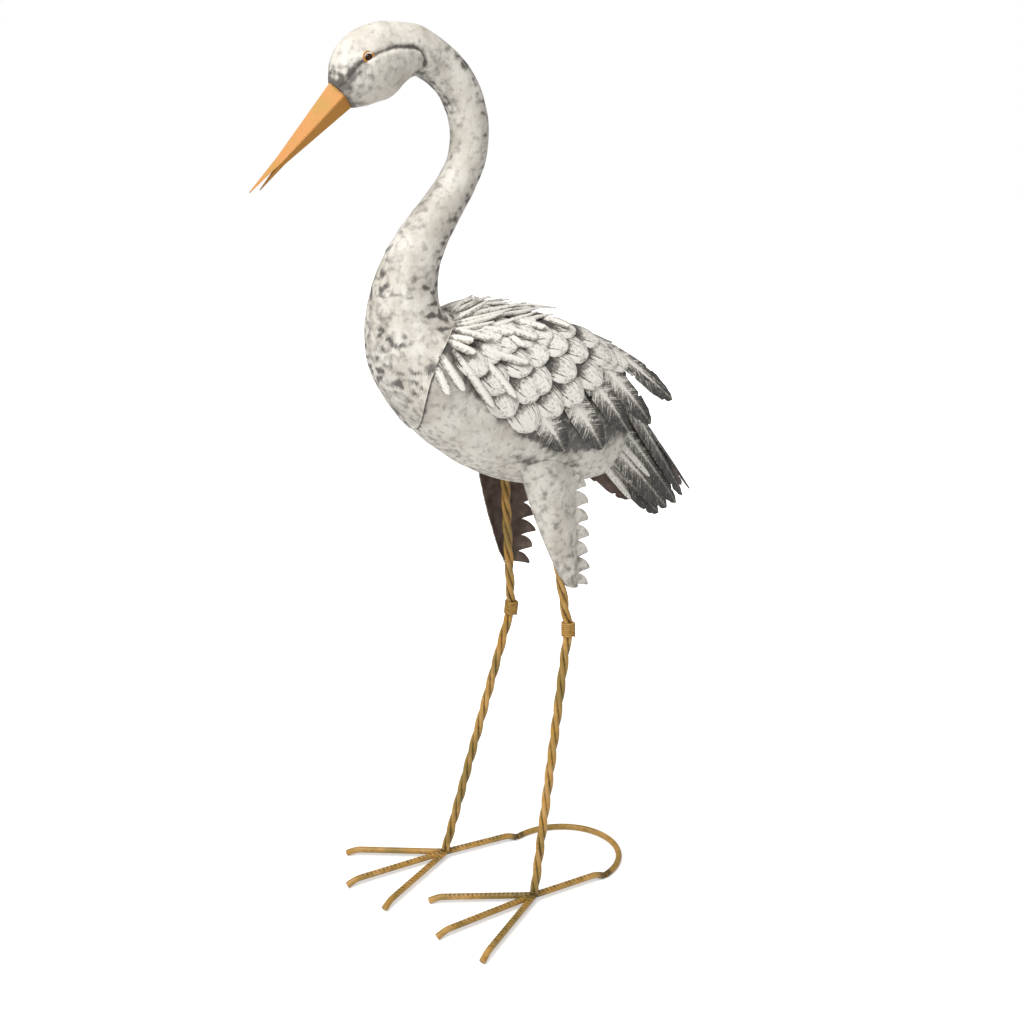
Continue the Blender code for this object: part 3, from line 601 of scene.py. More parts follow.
@dataclass(frozen=True)
class FeatherPaint(Finish):
    """Grey paint on embossed feathers with white dragged over the raised barbs."""

    lie: BarbLie = BarbLie.LENGTHWISE
    middle: str = "928C83"
    pale: str = "F4F0E7"
    barb: float = 0.0013
    run: float = 0.020
    speckle: float = 0.0030
    streak_range: Span = (0.34, 0.66)
    streak_reach: Span = (-0.6, 0.5)
    speckle_range: Span = (0.3, 0.7)
    speckle_reach: float = 0.24
    middle_from: Span = (0.05, 0.45)
    pale_from: Span = (0.45, 0.85)
    emboss_strength: float = 0.55
    emboss_height: float = 0.0008

    def material(self) -> bpy.types.Material:
        """Build the paint: streaks that follow the barbs, paler where the piece says so."""
        # Flat enamel over embossed sheet: the brush catches the raised barbs and the rims
        material, tree, shader = self.start()
        spread = add_node(tree, "ShaderNodeUVMap", {}, "UV", uv_map="lie")
        if self.lie is BarbLie.SLANTED:
            split = tree.nodes.new("ShaderNodeSeparateXYZ")
            tree.links.new(spread, split.inputs["Vector"])
            beside = add_node(
                tree, "ShaderNodeMath", {0: split.outputs["X"]}, operation="ABSOLUTE")
            slanted = add_node(tree, "ShaderNodeMath", {
                0: split.outputs["Y"], 1: beside}, operation="SUBTRACT")
            spread = add_node(
                tree, "ShaderNodeCombineXYZ", {"X": slanted, "Y": split.outputs["X"]})
        drawn = add_node(tree, "ShaderNodeMapping", {
            "Vector": spread, "Scale": (1.0, self.barb / self.run, 1.0)})
        streak = add_node(tree, "ShaderNodeTexNoise", {
            "Vector": drawn, "Scale": 1.0 / self.barb, "Detail": 2.0}, "Fac")
        lines = add_node(tree, "ShaderNodeMapRange", {
            "Value": streak, "From Min": self.streak_range[0], "From Max": self.streak_range[1],
            "To Min": self.streak_reach[0], "To Max": self.streak_reach[1]})
        barbs = add_node(tree, "ShaderNodeAttribute", {}, "Fac", attribute_name="barbs")
        marked = add_node(tree, "ShaderNodeAttribute", {}, "Fac", attribute_name="pale")
        dragged = add_node(tree, "ShaderNodeMath", {
            0: lines, 1: barbs, 2: marked}, operation="MULTIPLY_ADD")
        spots = add_node(tree, "ShaderNodeTexCoord", {}, "Object")
        grain = add_node(tree, "ShaderNodeTexNoise", {
            "Vector": spots, "Scale": 1.0 / self.speckle, "Detail": 5.0}, "Fac")
        speckled = add_node(tree, "ShaderNodeMapRange", {
            "Value": grain, "From Min": self.speckle_range[0], "From Max": self.speckle_range[1],
            "To Min": -self.speckle_reach, "To Max": self.speckle_reach})
        amount = add_node(tree, "ShaderNodeMath", {0: dragged, 1: speckled}, operation="ADD")
        colour: object = linear(self.coat)
        for span, over in ((self.middle_from, self.middle), (self.pale_from, self.pale)):
            share = add_node(tree, "ShaderNodeMapRange", {
                "Value": amount, "From Min": span[0], "From Max": span[1]})
            colour = add_node(tree, "ShaderNodeMix", {
                "Factor": share, MIX_A: colour, MIX_B: linear(over),
            }, MIX_RESULT, data_type="RGBA")
        tree.links.new(colour, shader.inputs["Base Color"])
        ribs = add_node(tree, "ShaderNodeBump", {
            "Height": streak, "Strength": self.emboss_strength, "Distance": self.emboss_height})
        tree.links.new(ribs, shader.inputs["Normal"])
        return material


# Brushed enamel over steel: chalky and slightly uneven, dark wax rubbed into the low places
ANTIQUED_WHITE = Finish(
    "antiqued white paint on hammered steel", "EAE5DA", (
        Cloud("CDC6B9", 0.034, 0.38, 0.66, 0.9),
        Cloud("A89F93", 0.012, 0.50, 0.76, 0.45, 5.0),
        Cloud("8E867D", 0.0022, 0.58, 0.78, 0.20, 4.0),
        # Dark grime, and painted shade where pieces mark it: under the neck's lip and the wing,
        # round the thighs, on the rump, belly and cheeks
        Cloud("55514D", 0.0075, 1.16, 1.95, 0.92, 5.0, "grime_and_shade", 2.1),
    ), ((0.0060, 0.0016, 0.5), (0.0012, 0.0004, 0.35)))
# Satin enamel with a dark olive wash that stays in the hollows of the twist and the ribs
GOLDEN_OCHRE = Finish(
    "golden ochre paint on steel rod", "BE8E3E", (
        Cloud("CFA360", 0.014, 0.40, 0.68, 1.0, 4.0),
        Cloud("8C7534", 0.040, 0.44, 0.64, 0.80, 5.0),
        Cloud("4D4120", 0.0050, 0.72, 1.50, 0.92, 4.0, "groove", 1.1),
    ), ((0.0016, 0.0004, 0.35),), 0.42)
# Satin enamel in two tones, clouded along the beak and rubbed off at the tips; the lower half's
# darker tone is partly painted shade
BEAK_ORANGE = Finish(
    "orange and ochre beak paint", "D18A33", (
        Cloud("C08D28", 0.026, 0.42, 0.60, 0.85, 3.0),
        Cloud("C4862A", 0.0080, 0.65, 1.25, 1.0, 4.0, "tone_and_shade", 0.9),
        Cloud("9A8458", 0.0080, 0.95, 1.50, 0.8, 4.0, "worn", 0.9),
    ), ((0.0020, 0.0004, 0.3),), 0.42)
# Iron-oxide primer left as sprayed: matt and faintly cloudy
BROWN_PRIMER = Finish(
    "brown primer under the sheet", "5E4D43", (Cloud("85736A", 0.016, 0.45, 0.75, 1.0, 4.0),),
    (), 0.7)
# Solid moulded glass: very smooth, so that it shows one small bright highlight
EYE_GLASS = Finish(
    "dark brown glass", "241710", (Cloud("5A3418", 0.004, 0.35, 0.75, 1.0, 1.0),), (), 0.10, 0.25)
# Matt board: no gloss, so that only soft shadows show on it
FLOOR_WHITE = Finish("white studio floor", "FCFCFC", (), (), 0.95, 0.0)


@dataclass(frozen=True)
class Palette:
    """The statue's finishes."""

    white: bpy.types.Material
    scale: bpy.types.Material
    blade: bpy.types.Material
    brown: bpy.types.Material
    ochre: bpy.types.Material
    beak: bpy.types.Material
    glass: bpy.types.Material


@dataclass
class NeckShell:
    """Head, neck and breast, one hammered shell with an engraved line round the face.

    The nape and the other parts lie between two places, counted in rings from the beak.
    """

    columns: int = 120
    rows: int = 294
    groove_depth: float = 0.0019
    groove_width: float = 0.0020
    cheek: float = 0.0011
    seam_height: float = 0.0008
    seam_width: float = 0.0020
    dent: float = 0.0006
    dent_size: float = 0.016
    lip_height: float = 0.0009
    lip: Span = (20.80, 20.92)
    broad_size: float = 0.034
    broad_shift: Vector = Vector((3.0, 1.0, 7.0))
    spot_size: float = 0.0095
    spot_shift: Vector = Vector((9.0, 2.0, 4.0))
    spot_stretch: Vector = Vector((1.0, 0.7, 1.7))
    spot_range: Span = (0.06, 0.42)
    beak_end: float = 2.1
    beak_shade: Shade = Shade(0.75, 0.8)
    nape: Span = (6.5, 9.0)
    nape_shade: Shade = Shade(0.18, 0.85)
    breast: Span = (14.5, 18.5)
    breast_shade: Shade = Shade(0.10, 0.75)
    throat: Span = (5.5, 7.5)
    throat_shade: Shade = Shade(0.16, 0.22)
    brow: Span = (1.5, 4.0)
    brow_shade: Shade = Shade(0.12, 0.35)
    face_end: float = 11.0
    line_reach: float = 0.0019
    lores: Span = (2.4, 3.6)
    lores_reach: float = 0.0036
    cheek_shade: Span = (0.004, 0.045)
    throat_seam_bump: Span = (0.0030, 0.0028)
    throat_seam_shade: Shade = Shade(0.6, 0.9)
    face_line: tuple[tuple[float, float, float], ...] = (
        (.0124, -.164, .9839), (.0172, -.1605, .9874), (.0211, -.1567, .993), (.0251, -.15, 1.002),
        (.0274, -.143, 1.0084), (.0292, -.1336, 1.0137), (.0297, -.1262, 1.0167),
        (.0296, -.1188, 1.0189), (.0288, -.11, 1.0209), (.0278, -.1022, 1.0213),
        (.0257, -.0894, 1.0211), (.0238, -.0797, 1.0172), (.0221, -.0759, 1.0113),
        (.0194, -.0754, 1.0055),
    )
    throat_seam: tuple[tuple[float, float, float], ...] = (
        (.0128, -.0844, .9963), (.005, -.0654, .9898), (.0038, -.0508, .9769),
        (.0064, -.0409, .9622),
    )

    def relief(self, place: float, around: float, point: Vector) -> tuple[float, float]:
        """Work out how the shell is worked at a point.

        Args:
            place: where along the shell, counted in rings.
            around: angle in radians from the back down the left side.
            point: the point on the plain shell.

        Returns:
            How far the surface is raised, and how much grime and painted shade lie on it.
        """
        rough = noise.noise(point / self.dent_size)
        height = self.dent * rough
        broad = noise.noise(point / self.broad_size + self.broad_shift)
        fine = noise.noise(point * self.spot_stretch / self.spot_size + self.spot_shift)
        spots = smooth(fine, *self.spot_range)
        back = math.cos(around)
        at_beak = smooth(self.beak_end - place, 0.0, self.beak_end)
        grime_and_shade = 0.80 * at_beak * self.beak_shade.over(broad)
        nape = smooth(place, *self.nape) * smooth(back, -0.15, 0.75)
        grime_and_shade += nape * self.nape_shade.over(spots)
        patches = spots * smooth(broad, -0.25, 0.20)
        grime_and_shade += smooth(place, *self.breast) * self.breast_shade.over(patches)
        throat = smooth(-back, 0.35, 0.95) * smooth(place, *self.throat)
        grime_and_shade += throat * self.throat_shade.over(spots)
        if place < self.face_end:
            built = point - SETTLED
            built.x = abs(built.x)
            face = distance_to_line(built, [Vector(spot) for spot in self.face_line])
            seam = distance_to_line(built, [Vector(spot) for spot in self.throat_seam])
            height -= self.groove_depth * bump(face, 0.0, self.groove_width)
            cheek = smooth(abs(math.remainder(around, math.tau)), 1.1, 1.45)
            height += self.cheek * cheek * (1.0 - smooth(face, 0.002, 0.030)) * smooth(
                face, 0.0008, 0.0045)
            height += self.seam_height * bump(seam, 0.0, self.seam_width) * (0.7 + 0.6 * rough)
            lores = 1.0 - smooth(place, *self.lores)
            line = self.line_reach + self.lores_reach * lores
            grime_and_shade += (1.0 + 0.3 * lores) * bump(face, 0.0, line)
            grime_and_shade += 0.6 * bump(place, 0.0, 0.9) * (0.7 + broad)
            brow = smooth(back, 0.1, 0.7) * (1.0 - smooth(place, *self.brow))
            grime_and_shade += brow * self.brow_shade.over(spots)
            # Painted shade on the cheek just below the face groove
            grime_and_shade += 0.22 * cheek * (1.0 - smooth(face, *self.cheek_shade))
            beside_seam = bump(seam, *self.throat_seam_bump)
            grime_and_shade += 0.75 * beside_seam * self.throat_seam_shade.over(spots)
        height += self.lip_height * smooth(place, *self.lip)
        return height, clamp(grime_and_shade)

    def build(self, palette: Palette) -> None:
        """Build the shell and dress it."""
        mesh = PieceMesh("grime_and_shade")

        def placing(across: float, along: float) -> tuple[Vector, Marks]:
            """Find a point of the shell."""
            place = along * NECK_FORM.last
            around = math.tau * across
            skin = NECK_FORM.frame(place, around)
            spot = NECK_FORM.point(place, around)
            height, grime_and_shade = self.relief(place, around, spot)
            return spot + skin.outward * height, {"grime_and_shade": grime_and_shade}

        mesh.wrapped(self.columns, self.rows, placing)
        mesh.dress("neck_shell", [palette.white], ["neck_and_head"])


@dataclass
class BodyShell:
    """Teardrop body that tucks under the neck's lip.

    The thigh and rump lie between two places, counted in rings from the seam.  The back, the
    belly and the wing's edge are angles in degrees from the middle of the back.
    """

    columns: int = 120
    rows: int = 150
    dent: float = 0.0007
    dent_size: float = 0.020
    broad_size: float = 0.034
    spot_size: float = 0.012
    spot_range: Span = (0.02, 0.36)
    plain_shade: Shade = Shade(0.02, 0.13)
    lip_shade: Span = (0.02, 0.16)
    back: Span = (20.0, 50.0)
    off_back: Shade = Shade(0.35, 0.65)
    wing_edge_shade: Span = (-1.0, 11.0)
    wing_shade: Shade = Shade(0.85, 0.6)
    thigh_front: Span = (2.4, 2.9)
    thigh_rear: Span = (4.3, 4.9)
    rump: Span = (5.8, 7.2)
    belly: Span = (120.0, 165.0)
    wing_edge: tuple[Span, ...] = (
        (0.0, 62.0), (0.8, 80.0), (1.6, 88.0), (2.4, 99.0), (3.0, 105.0), (3.8, 113.0),
        (5.1, 108.0), (6.2, 94.0), (7.4, 84.0), (9.0, 66.0),
    )
    thigh_top: float = 127.0

    def edge_at(self, place: float) -> float:
        """Angle in degrees of the wing's lower edge at a place."""
        for (start, low), (end, high) in zip(self.wing_edge, self.wing_edge[1:]):
            if place <= end:
                return low + (high - low) * (place - start) / (end - start)
        return self.wing_edge[-1][1]

    def grime_and_shade(self, place: float, around: float, spot: Vector) -> float:
        """Work out how much grime and painted shade lie at a point.

        Args:
            place: where along the shell, counted in rings.
            around: angle in radians from the back down the left side.
            spot: the point.

        Returns:
            Grime and painted shade from 0 to 1.
        """
        broad = noise.noise(spot / self.broad_size)
        spots = smooth(noise.noise(spot / self.spot_size), *self.spot_range)
        low = abs(math.degrees(math.remainder(around, math.tau)))
        below = low - self.edge_at(place)
        # Painted shade under the neck's lip, over real grime spots
        amount = 0.9 * (1.0 - smooth(place, *self.lip_shade)) + self.plain_shade.over(spots)
        # Painted shadow of the wing along its lower edge, stronger away from the back
        off_back = self.off_back.over(smooth(low, *self.back))
        under_wing = 1.0 - smooth(below, *self.wing_edge_shade)
        amount += 0.95 * off_back * under_wing * self.wing_shade.over(broad)
        # Painted shade where the thigh plates meet the body
        near_thigh = smooth(place, *self.thigh_front) * (1.0 - smooth(place, *self.thigh_rear))
        amount += 0.75 * near_thigh * bump(low, self.thigh_top, 5.0)
        # Painted shade on the rump and belly, which face away from the light
        amount += 0.30 * smooth(place, *self.rump) + 0.22 * smooth(low, *self.belly)
        return clamp(amount)

    def build(self, palette: Palette) -> None:
        """Build the shell and dress it."""
        mesh = PieceMesh("grime_and_shade")

        def placing(across: float, along: float) -> tuple[Vector, Marks]:
            """Find a point of the shell."""
            place = along * BODY_FORM.last
            around = math.tau * across
            skin = BODY_FORM.frame(place, around)
            spot = BODY_FORM.point(place, around)
            height = self.dent * noise.noise(spot / self.dent_size) * smooth(place, 0.2, 0.5)
            return spot + skin.outward * height, {"grime_and_shade": self.grime_and_shade(place, around, spot)}

        mesh.wrapped(self.columns, self.rows, placing)
        mesh.dress("body_shell", [palette.white], ["body"])


@dataclass
class Beak:
    """Beak of folded sheet, a long diamond whose two tips are parted."""

    root: Vector = Vector((0.0, -0.1593, 0.9763))
    upper_length: float = 0.134
    lower_length: float = 0.1245
    half_depth: float = 0.0154
    half_width: float = 0.0105
    lean: float = 133.0
    closed: float = 0.088
    upper_rise: float = 0.0022
    lower_drop: float = 0.0036
    tip: float = 0.0009
    fold_sides: int = 24
    rows: int = 60

    def half(self, mesh: PieceMesh, side_up: float, length: float, shift: float) -> None:
        """Add one half of the beak.

        Args:
            mesh: the mesh that takes it.
            side_up: 1 for the upper half and -1 for the lower one.
            length: length from root to tip.
            shift: how far the tip parts from the closed line.
        """
        across_beak, backward = shell_axes(self.lean)

        def placing(across: float, along: float) -> tuple[Vector, Marks]:
            """Find a point on the three-sided section."""
            taper = 1.0 - along
            parted = shift * max(0.0, (along * length - self.closed) / (length - self.closed))
            middle = SETTLED + self.root - backward * along * length
            middle += across_beak * side_up * (parted - self.tip / 2)
            ridge = middle + across_beak * side_up * (self.half_depth * taper + self.tip)
            corner = Vector((self.half_width * taper + self.tip / 2, 0.0, 0.0))
            corners = (ridge, middle + corner * side_up, middle - corner * side_up, ridge)
            step = min(int(across * 3.0), 2)
            spot = corners[step].lerp(corners[step + 1], across * 3.0 - step)
            # The lower half takes the darker tone: partly two-tone paint and partly painted shade
            # of the underside
            return spot, {"tone_and_shade": 0.5 - 0.5 * side_up, "worn": smooth(along, 0.90, 1.0)}

        mesh.wrapped(self.fold_sides, self.rows, placing)

    def build(self, palette: Palette) -> None:
        """Build both halves and dress them."""
        mesh = PieceMesh("tone_and_shade", "worn")
        self.half(mesh, 1.0, self.upper_length, self.upper_rise)
        self.half(mesh, -1.0, self.lower_length, self.lower_drop)
        mesh.dress("folded_beak", [palette.beak], ["beak"], 25.0)


@dataclass
class Eyes:
    """Glass beads, each in a rolled painted ring that lies on the head."""

    radius: float = 0.0044
    sink: float = 0.0020
    ring_reach: float = 0.0050
    ring_half_width: float = 0.0011
    ring_half_height: float = 0.0013
    head_place: float = 3.66
    head_around: float = 67.5
    segments: int = 32
    ring_sides: int = 12
    turn_out: float = 0.6
    ring_tone: float = 0.75
    ring_wear: Shade = Shade(0.25, 0.35)

    def build(self, palette: Palette) -> None:
        """Build both eyes and dress them."""
        skin = NECK_FORM.frame(self.head_place, math.radians(self.head_around))
        for side in Side:
            flip = Vector((side.value, 1.0, 1.0))
            centre = SETTLED + EYE_CENTRE * flip
            outward = (skin.outward + Vector((self.turn_out, 0.0, 0.0))).normalized() * flip
            beside = outward.orthogonal().normalized()
            across_eye = outward.cross(beside)
            bead = PieceMesh()
            bmesh.ops.create_uvsphere(
                bead.bm, u_segments=self.segments, v_segments=self.segments // 2,
                radius=self.radius, matrix=Matrix.Translation(centre - outward * self.sink))
            bead.dress(
                f"{side.word}_eye_bead", [palette.glass], [f"{side.word}_eye"])

            def placing(across: float, along: float, centre: Vector = centre,
                        axes: tuple[Vector, Vector, Vector] = (outward, beside, across_eye),
                        ) -> tuple[Vector, Marks]:
                """Find a point of the rolled ring."""
                turn = math.tau * along
                roll = math.tau * across
                out = swing(axes[1], axes[2], turn)
                spot = centre + out * (self.ring_reach + self.ring_half_width * math.cos(roll))
                spot += axes[0] * self.ring_half_height * math.sin(roll)
                wear = self.ring_wear.over(abs(math.sin(turn * 1.5)))
                return spot, {"tone_and_shade": self.ring_tone, "worn": wear}

            ring = PieceMesh("tone_and_shade", "worn")
            ring.wrapped(self.ring_sides, self.segments, placing)
            ring.dress(
                f"{side.word}_eye_rim", [palette.beak],
                [f"{side.word}_eye_ring"])


@dataclass(frozen=True)
class Stance:
    """Where the joints of the legs are."""

    half_stance: float = 0.0695
    stride: float = 0.0285
    ankle_rise: float = 0.0095
    toe_rod: float = 0.0080
    knee_height: float = 0.360
    knee_half_spacing: float = 0.046
    knee_back: float = 0.074
    knee_lead: float = 0.014
    hip_height: float = 0.585
    hip_half_spacing: float = 0.037
    hip_back: float = 0.048
    hip_lead: float = 0.004

    def joints(self, side: Side) -> tuple[Vector, Vector, Vector]:
        """Find the joints of one leg; the right leg leads.

        Args:
            side: side of the leg.

        Returns:
            Ankle, knee and hip.
        """
        sign = side.value
        rod_top = self.ankle_rise + self.toe_rod / 2
        ankle = Vector((self.half_stance * sign, self.stride * sign, rod_top + SEAM_GAP))
        knee = Vector((
            self.knee_half_spacing * sign, self.knee_back + self.knee_lead * sign,
            self.knee_height))
        hip = Vector((
            self.hip_half_spacing * sign, self.hip_back + self.hip_lead * sign, self.hip_height))
        return ankle + SETTLED, knee + SETTLED, hip + SETTLED


@dataclass
class TwistedLeg:
    """Three rods twisted together, bent at the knee."""

    side: Side
    stance: Stance = Stance()
    bundle: float = 0.0060
    rod: float = 0.0030
    pitch: float = 0.093
    strands: int = 3
    rows: int = 220
    rod_sides: int = 14
    knee_round: float = 0.020
    step: float = 0.004
    inner_wash: float = 0.72
    ankle_wash: float = 0.45
    ankle_reach: float = 0.012
    cloud_wash: float = 0.3
    cloud_size: float = 0.03

    def centre(self, share: float) -> Vector:
        """Find the middle of the bundle.

        Args:
            share: share of the leg's length up from the ankle.

        Returns:
            The point, with the knee's bend rounded.
        """
        ankle, knee, hip = self.stance.joints(self.side)
        shin, thigh = (knee - ankle).length, (hip - knee).length
        travelled = share * (shin + thigh)
        low = ankle + (knee - ankle) * travelled / shin
        high = knee + (hip - knee) * (travelled - shin) / thigh
        return low.lerp(high, smooth(travelled, shin - self.knee_round, shin + self.knee_round))

    def strand_path(self, strand: int) -> list[Vector]:
        """Lay the middle line of one strand.

        Args:
            strand: number of the strand.

        Returns:
            Points from the ankle up to the hip.
        """
        length = path_length(self.stance.joints(self.side))
        path = []
        for row in range(self.rows + 1):
            share = row / self.rows
            along = (self.centre(share + self.step) - self.centre(share - self.step)).normalized()
            across = Vector((1.0, 0.0, 0.0)).cross(along).normalized()
            turn = math.tau * (strand / self.strands - share * length / self.pitch)
            reach = swing(across, along.cross(across), turn) * (self.bundle - self.rod)
            path.append(self.centre(share) + reach)
        return path

    def build(self, palette: Palette) -> None:
        """Build the leg and dress it."""
        mesh = PieceMesh("groove")
        for strand in range(self.strands):
            path = self.strand_path(strand)

            def placing(around: float, along: float,
                        path: list[Vector] = path) -> tuple[Vector, Marks]:
                """Find a point of one strand, marked where it faces the others."""
                row = round(along * self.rows)
                outward = (path[row] - self.centre(along)).normalized()
                run = run_at(path, row)
                outward = (outward - run * outward.dot(run)).normalized()
                angle = math.tau * around
                reach = swing(outward, run.cross(outward), angle)
                groove = self.inner_wash * smooth(-math.cos(angle), -0.55, 0.15)
                groove += self.ankle_wash * bump(along, 0.0, self.ankle_reach)
                groove += self.cloud_wash * noise.noise(path[row] / self.cloud_size)
                return path[row] + reach * self.rod, {"groove": clamp(groove)}

            mesh.wrapped(self.rod_sides, self.rows, placing)
        mesh.dress(
            f"{self.side.word}_twisted_leg", [palette.ochre],
            [f"{self.side.word}_leg"])


@dataclass
class KneeCoil:
    """Close coil of wire round the knee."""

    side: Side
    stance: Stance = Stance()
    wire: float = 0.0026
    turns: float = 7.0
    steps_a_turn: int = 28
    wire_sides: int = 10
    bore: float = 0.0062
    settled_turns: float = 0.2
    wash: Shade = Shade(0.30, 0.2)
    wash_waves: float = 23.0

    def build(self, palette: Palette) -> None:
        """Build the coil and dress it."""
        ankle, knee, hip = self.stance.joints(self.side)
        axis = ((knee - ankle).normalized() + (hip - knee).normalized()).normalized()
        beside = axis.orthogonal().normalized()
        across = axis.cross(beside)
        count = round(self.turns * self.steps_a_turn)
        path = []
        for step in range(count + 1):
            turn = math.tau * step / self.steps_a_turn
            height = (step / count - 0.5) * (self.turns - self.settled_turns) * self.wire
            reach = swing(beside, across, turn) * (self.bore + self.wire / 2)
            path.append(knee + axis * height + reach)
        mesh = PieceMesh("groove")
        mesh.bar(
            path, lambda around, along: self.wire / 2, self.wire_sides,
            lambda around, along: {
                "groove": self.wash.over(math.sin(along * self.wash_waves))})
        mesh.dress(
            f"{self.side.word}_knee_coil", [palette.ochre],
            [f"{self.side.word}_knee_collar"])


@dataclass
class Foot:
    """Four ribbed bars mitred together under the leg."""

    side: Side
    stance: Stance = Stance()
    toe_out: float = 2.0
    spread: float = 30.0
    heel_turn_left: float = -2.0
    heel_turn_right: float = 6.0
    middle_length: float = 0.141
    side_length: float = 0.134
    back_length: float = 0.104
    tip: float = 0.013
    rib_spacing: float = 0.0057
    rib_height: float = 0.00055
    rib_skew: float = 0.0022
    bend_round: float = 0.006
    weld_reach: float = 0.011
    weld_height: float = 0.0006
    tip_swell: float = 0.00035
    notch_wash: float = 0.75
    under_wash: float = 0.45
    weld_wash: float = 0.5
    joint_wash: float = 0.9
    joint_reach: float = 0.010
    cloud_wash: Shade = Shade(0.1, 0.35)
    bar_sides: int = 20
    rows: int = 150

    def headings(self) -> dict[str, tuple[float, float]]:
        """Heading of each bar in degrees outward from straight ahead, with its length."""
        heel = self.heel_turn_left if self.side is Side.LEFT else self.heel_turn_right
        return {
            "middle_toe": (self.toe_out, self.middle_length),
            "outer_toe": (self.toe_out + self.spread, self.side_length),
            "back_toe": (180.0 + heel, self.back_length),
            "inner_toe": (self.toe_out - self.spread + 360.0, self.side_length),
        }

    def direction(self, heading: float) -> Vector:
        """Level unit vector at a heading outward from straight ahead."""
        angle = math.radians(heading)
        return Vector((math.sin(angle) * self.side.value, -math.cos(angle), 0.0))

    def path(self, heading: float, length: float) -> list[Vector]:
        """Lay the middle line of one bar.

        Args:
            heading: heading in degrees.
            length: length to the tip.

        Returns:
            Points from the ankle to the tip, level and then bent down.
        """
        ankle = self.stance.joints(self.side)[0]
        rise = self.stance.ankle_rise
        rod = self.stance.toe_rod
        rest = rod / 2 * math.cos(math.atan2(rise - rod / 2, self.tip))
        out = self.direction(heading)
        points = []
        for row in range(self.rows + 1):
            distance = length * row / self.rows
            beyond = distance - (length - self.tip)
            softened = self.bend_round * math.log1p(math.exp(beyond / self.bend_round * 3.0)) / 3.0
            height = max(rest, rise + (rest - rise) * softened / self.tip)
            points.append(Vector((ankle.x, ankle.y, height)) + out * distance)
        return points

    def build(self, palette: Palette) -> None:
        """Build the four bars and dress them."""
        ordered = list(self.headings().items())
        radius = self.stance.toe_rod / 2
        for index, (toe, (heading, length)) in enumerate(ordered):
            smooth_bar = toe == "outer_toe" and self.side is Side.RIGHT

            def ridge(around: float, along: float) -> float:
                """Height of the slanted ribs, 1 on a rib and 0 in a notch."""
                distance = along * length + self.rib_skew * math.sin(math.tau * around)
                wave = 0.5 - 0.5 * math.cos(math.tau * distance / self.rib_spacing)
                plain = smooth(distance, length - 2.0 * self.tip, length - self.tip)
                top = smooth(math.cos(math.tau * around), 0.35, 0.85) * (not smooth_bar)
                return 1.0 - (1.0 - smooth(wave, 0.0, 0.5)) * top * (1.0 - plain)

            def girth(around: float, along: float) -> float:
                """Radius with ribs over the top of the bar and a blob of weld at the ankle."""
                blob = bump(along * length, 0.5 * self.weld_reach, 0.4 * self.weld_reach)
                rough = 0.5 + noise.noise(Vector((around * 5.0, along * 60.0, index)))
                thick = self.tip_swell * smooth(along * length, length - self.tip, length)
                off_ground = math.cos(math.tau * around) > -0.2
                cut = self.rib_height * (1.0 - ridge(around, along))
                return radius - cut + (thick + self.weld_height * blob * rough) * off_ground

            def mark(around: float, along: float) -> Marks:
                """Dark wash in the notches, under the bar, and round both welds."""
                under = smooth(-math.cos(math.tau * around), 0.0, 0.8)
                weld = bump(along * length, 0.0, 1.3 * self.weld_reach)
                joint = bump(along * length, length, self.joint_reach) * (toe == "back_toe")
                cloud = noise.noise(Vector((along * 9.0, around * 2.0, index * 3.0)))
                amount = self.notch_wash * (1.0 - ridge(around, along)) + self.under_wash * under
                amount += self.weld_wash * weld + self.joint_wash * joint
                amount += self.cloud_wash.over(cloud)
                return {"groove": clamp(amount)}

            mesh = PieceMesh("groove")
            mesh.bar(self.path(heading, length), girth, self.bar_sides, mark)
            for step in (-1, 1):
                self.mitre(mesh, heading, ordered[(index + step) % len(ordered)][1][0], step)
            mesh.dress(
                f"{self.side.word}_{toe}_bar", [palette.ochre],
                [f"{self.side.word}_{toe}"])

    def mitre(self, mesh: PieceMesh, heading: float, other: float, step: int) -> None:
        """Cut a bar where it meets its neighbour.

        Args:
            mesh: the bar.
            heading: its heading in degrees.
            other: its neighbour's heading.
            step: 1 where the neighbour is the next one and -1 where it is the one before.
        """
        turn = (other - heading + 180.0) % 360.0 - 180.0
        if step * turn < 0.0:
            turn += 360.0 * step
        limit = self.direction(heading + turn / 2)
        normal = Vector((-limit.y, limit.x, 0.0))
        if normal.dot(self.direction(heading)) > 0.0:
            normal = -normal
        ankle = self.stance.joints(self.side)[0]
        everything = [*mesh.bm.verts, *mesh.bm.edges, *mesh.bm.faces]
        bmesh.ops.bisect_plane(
            mesh.bm, geom=everything, dist=1e-7, plane_co=ankle - normal * SEAM_GAP / 2,
            plane_no=normal, clear_outer=True)
        rims = [edge for edge in mesh.bm.edges if edge.is_boundary]
        bmesh.ops.holes_fill(mesh.bm, edges=rims, sides=0)
        bmesh.ops.recalc_face_normals(mesh.bm, faces=mesh.bm.faces)


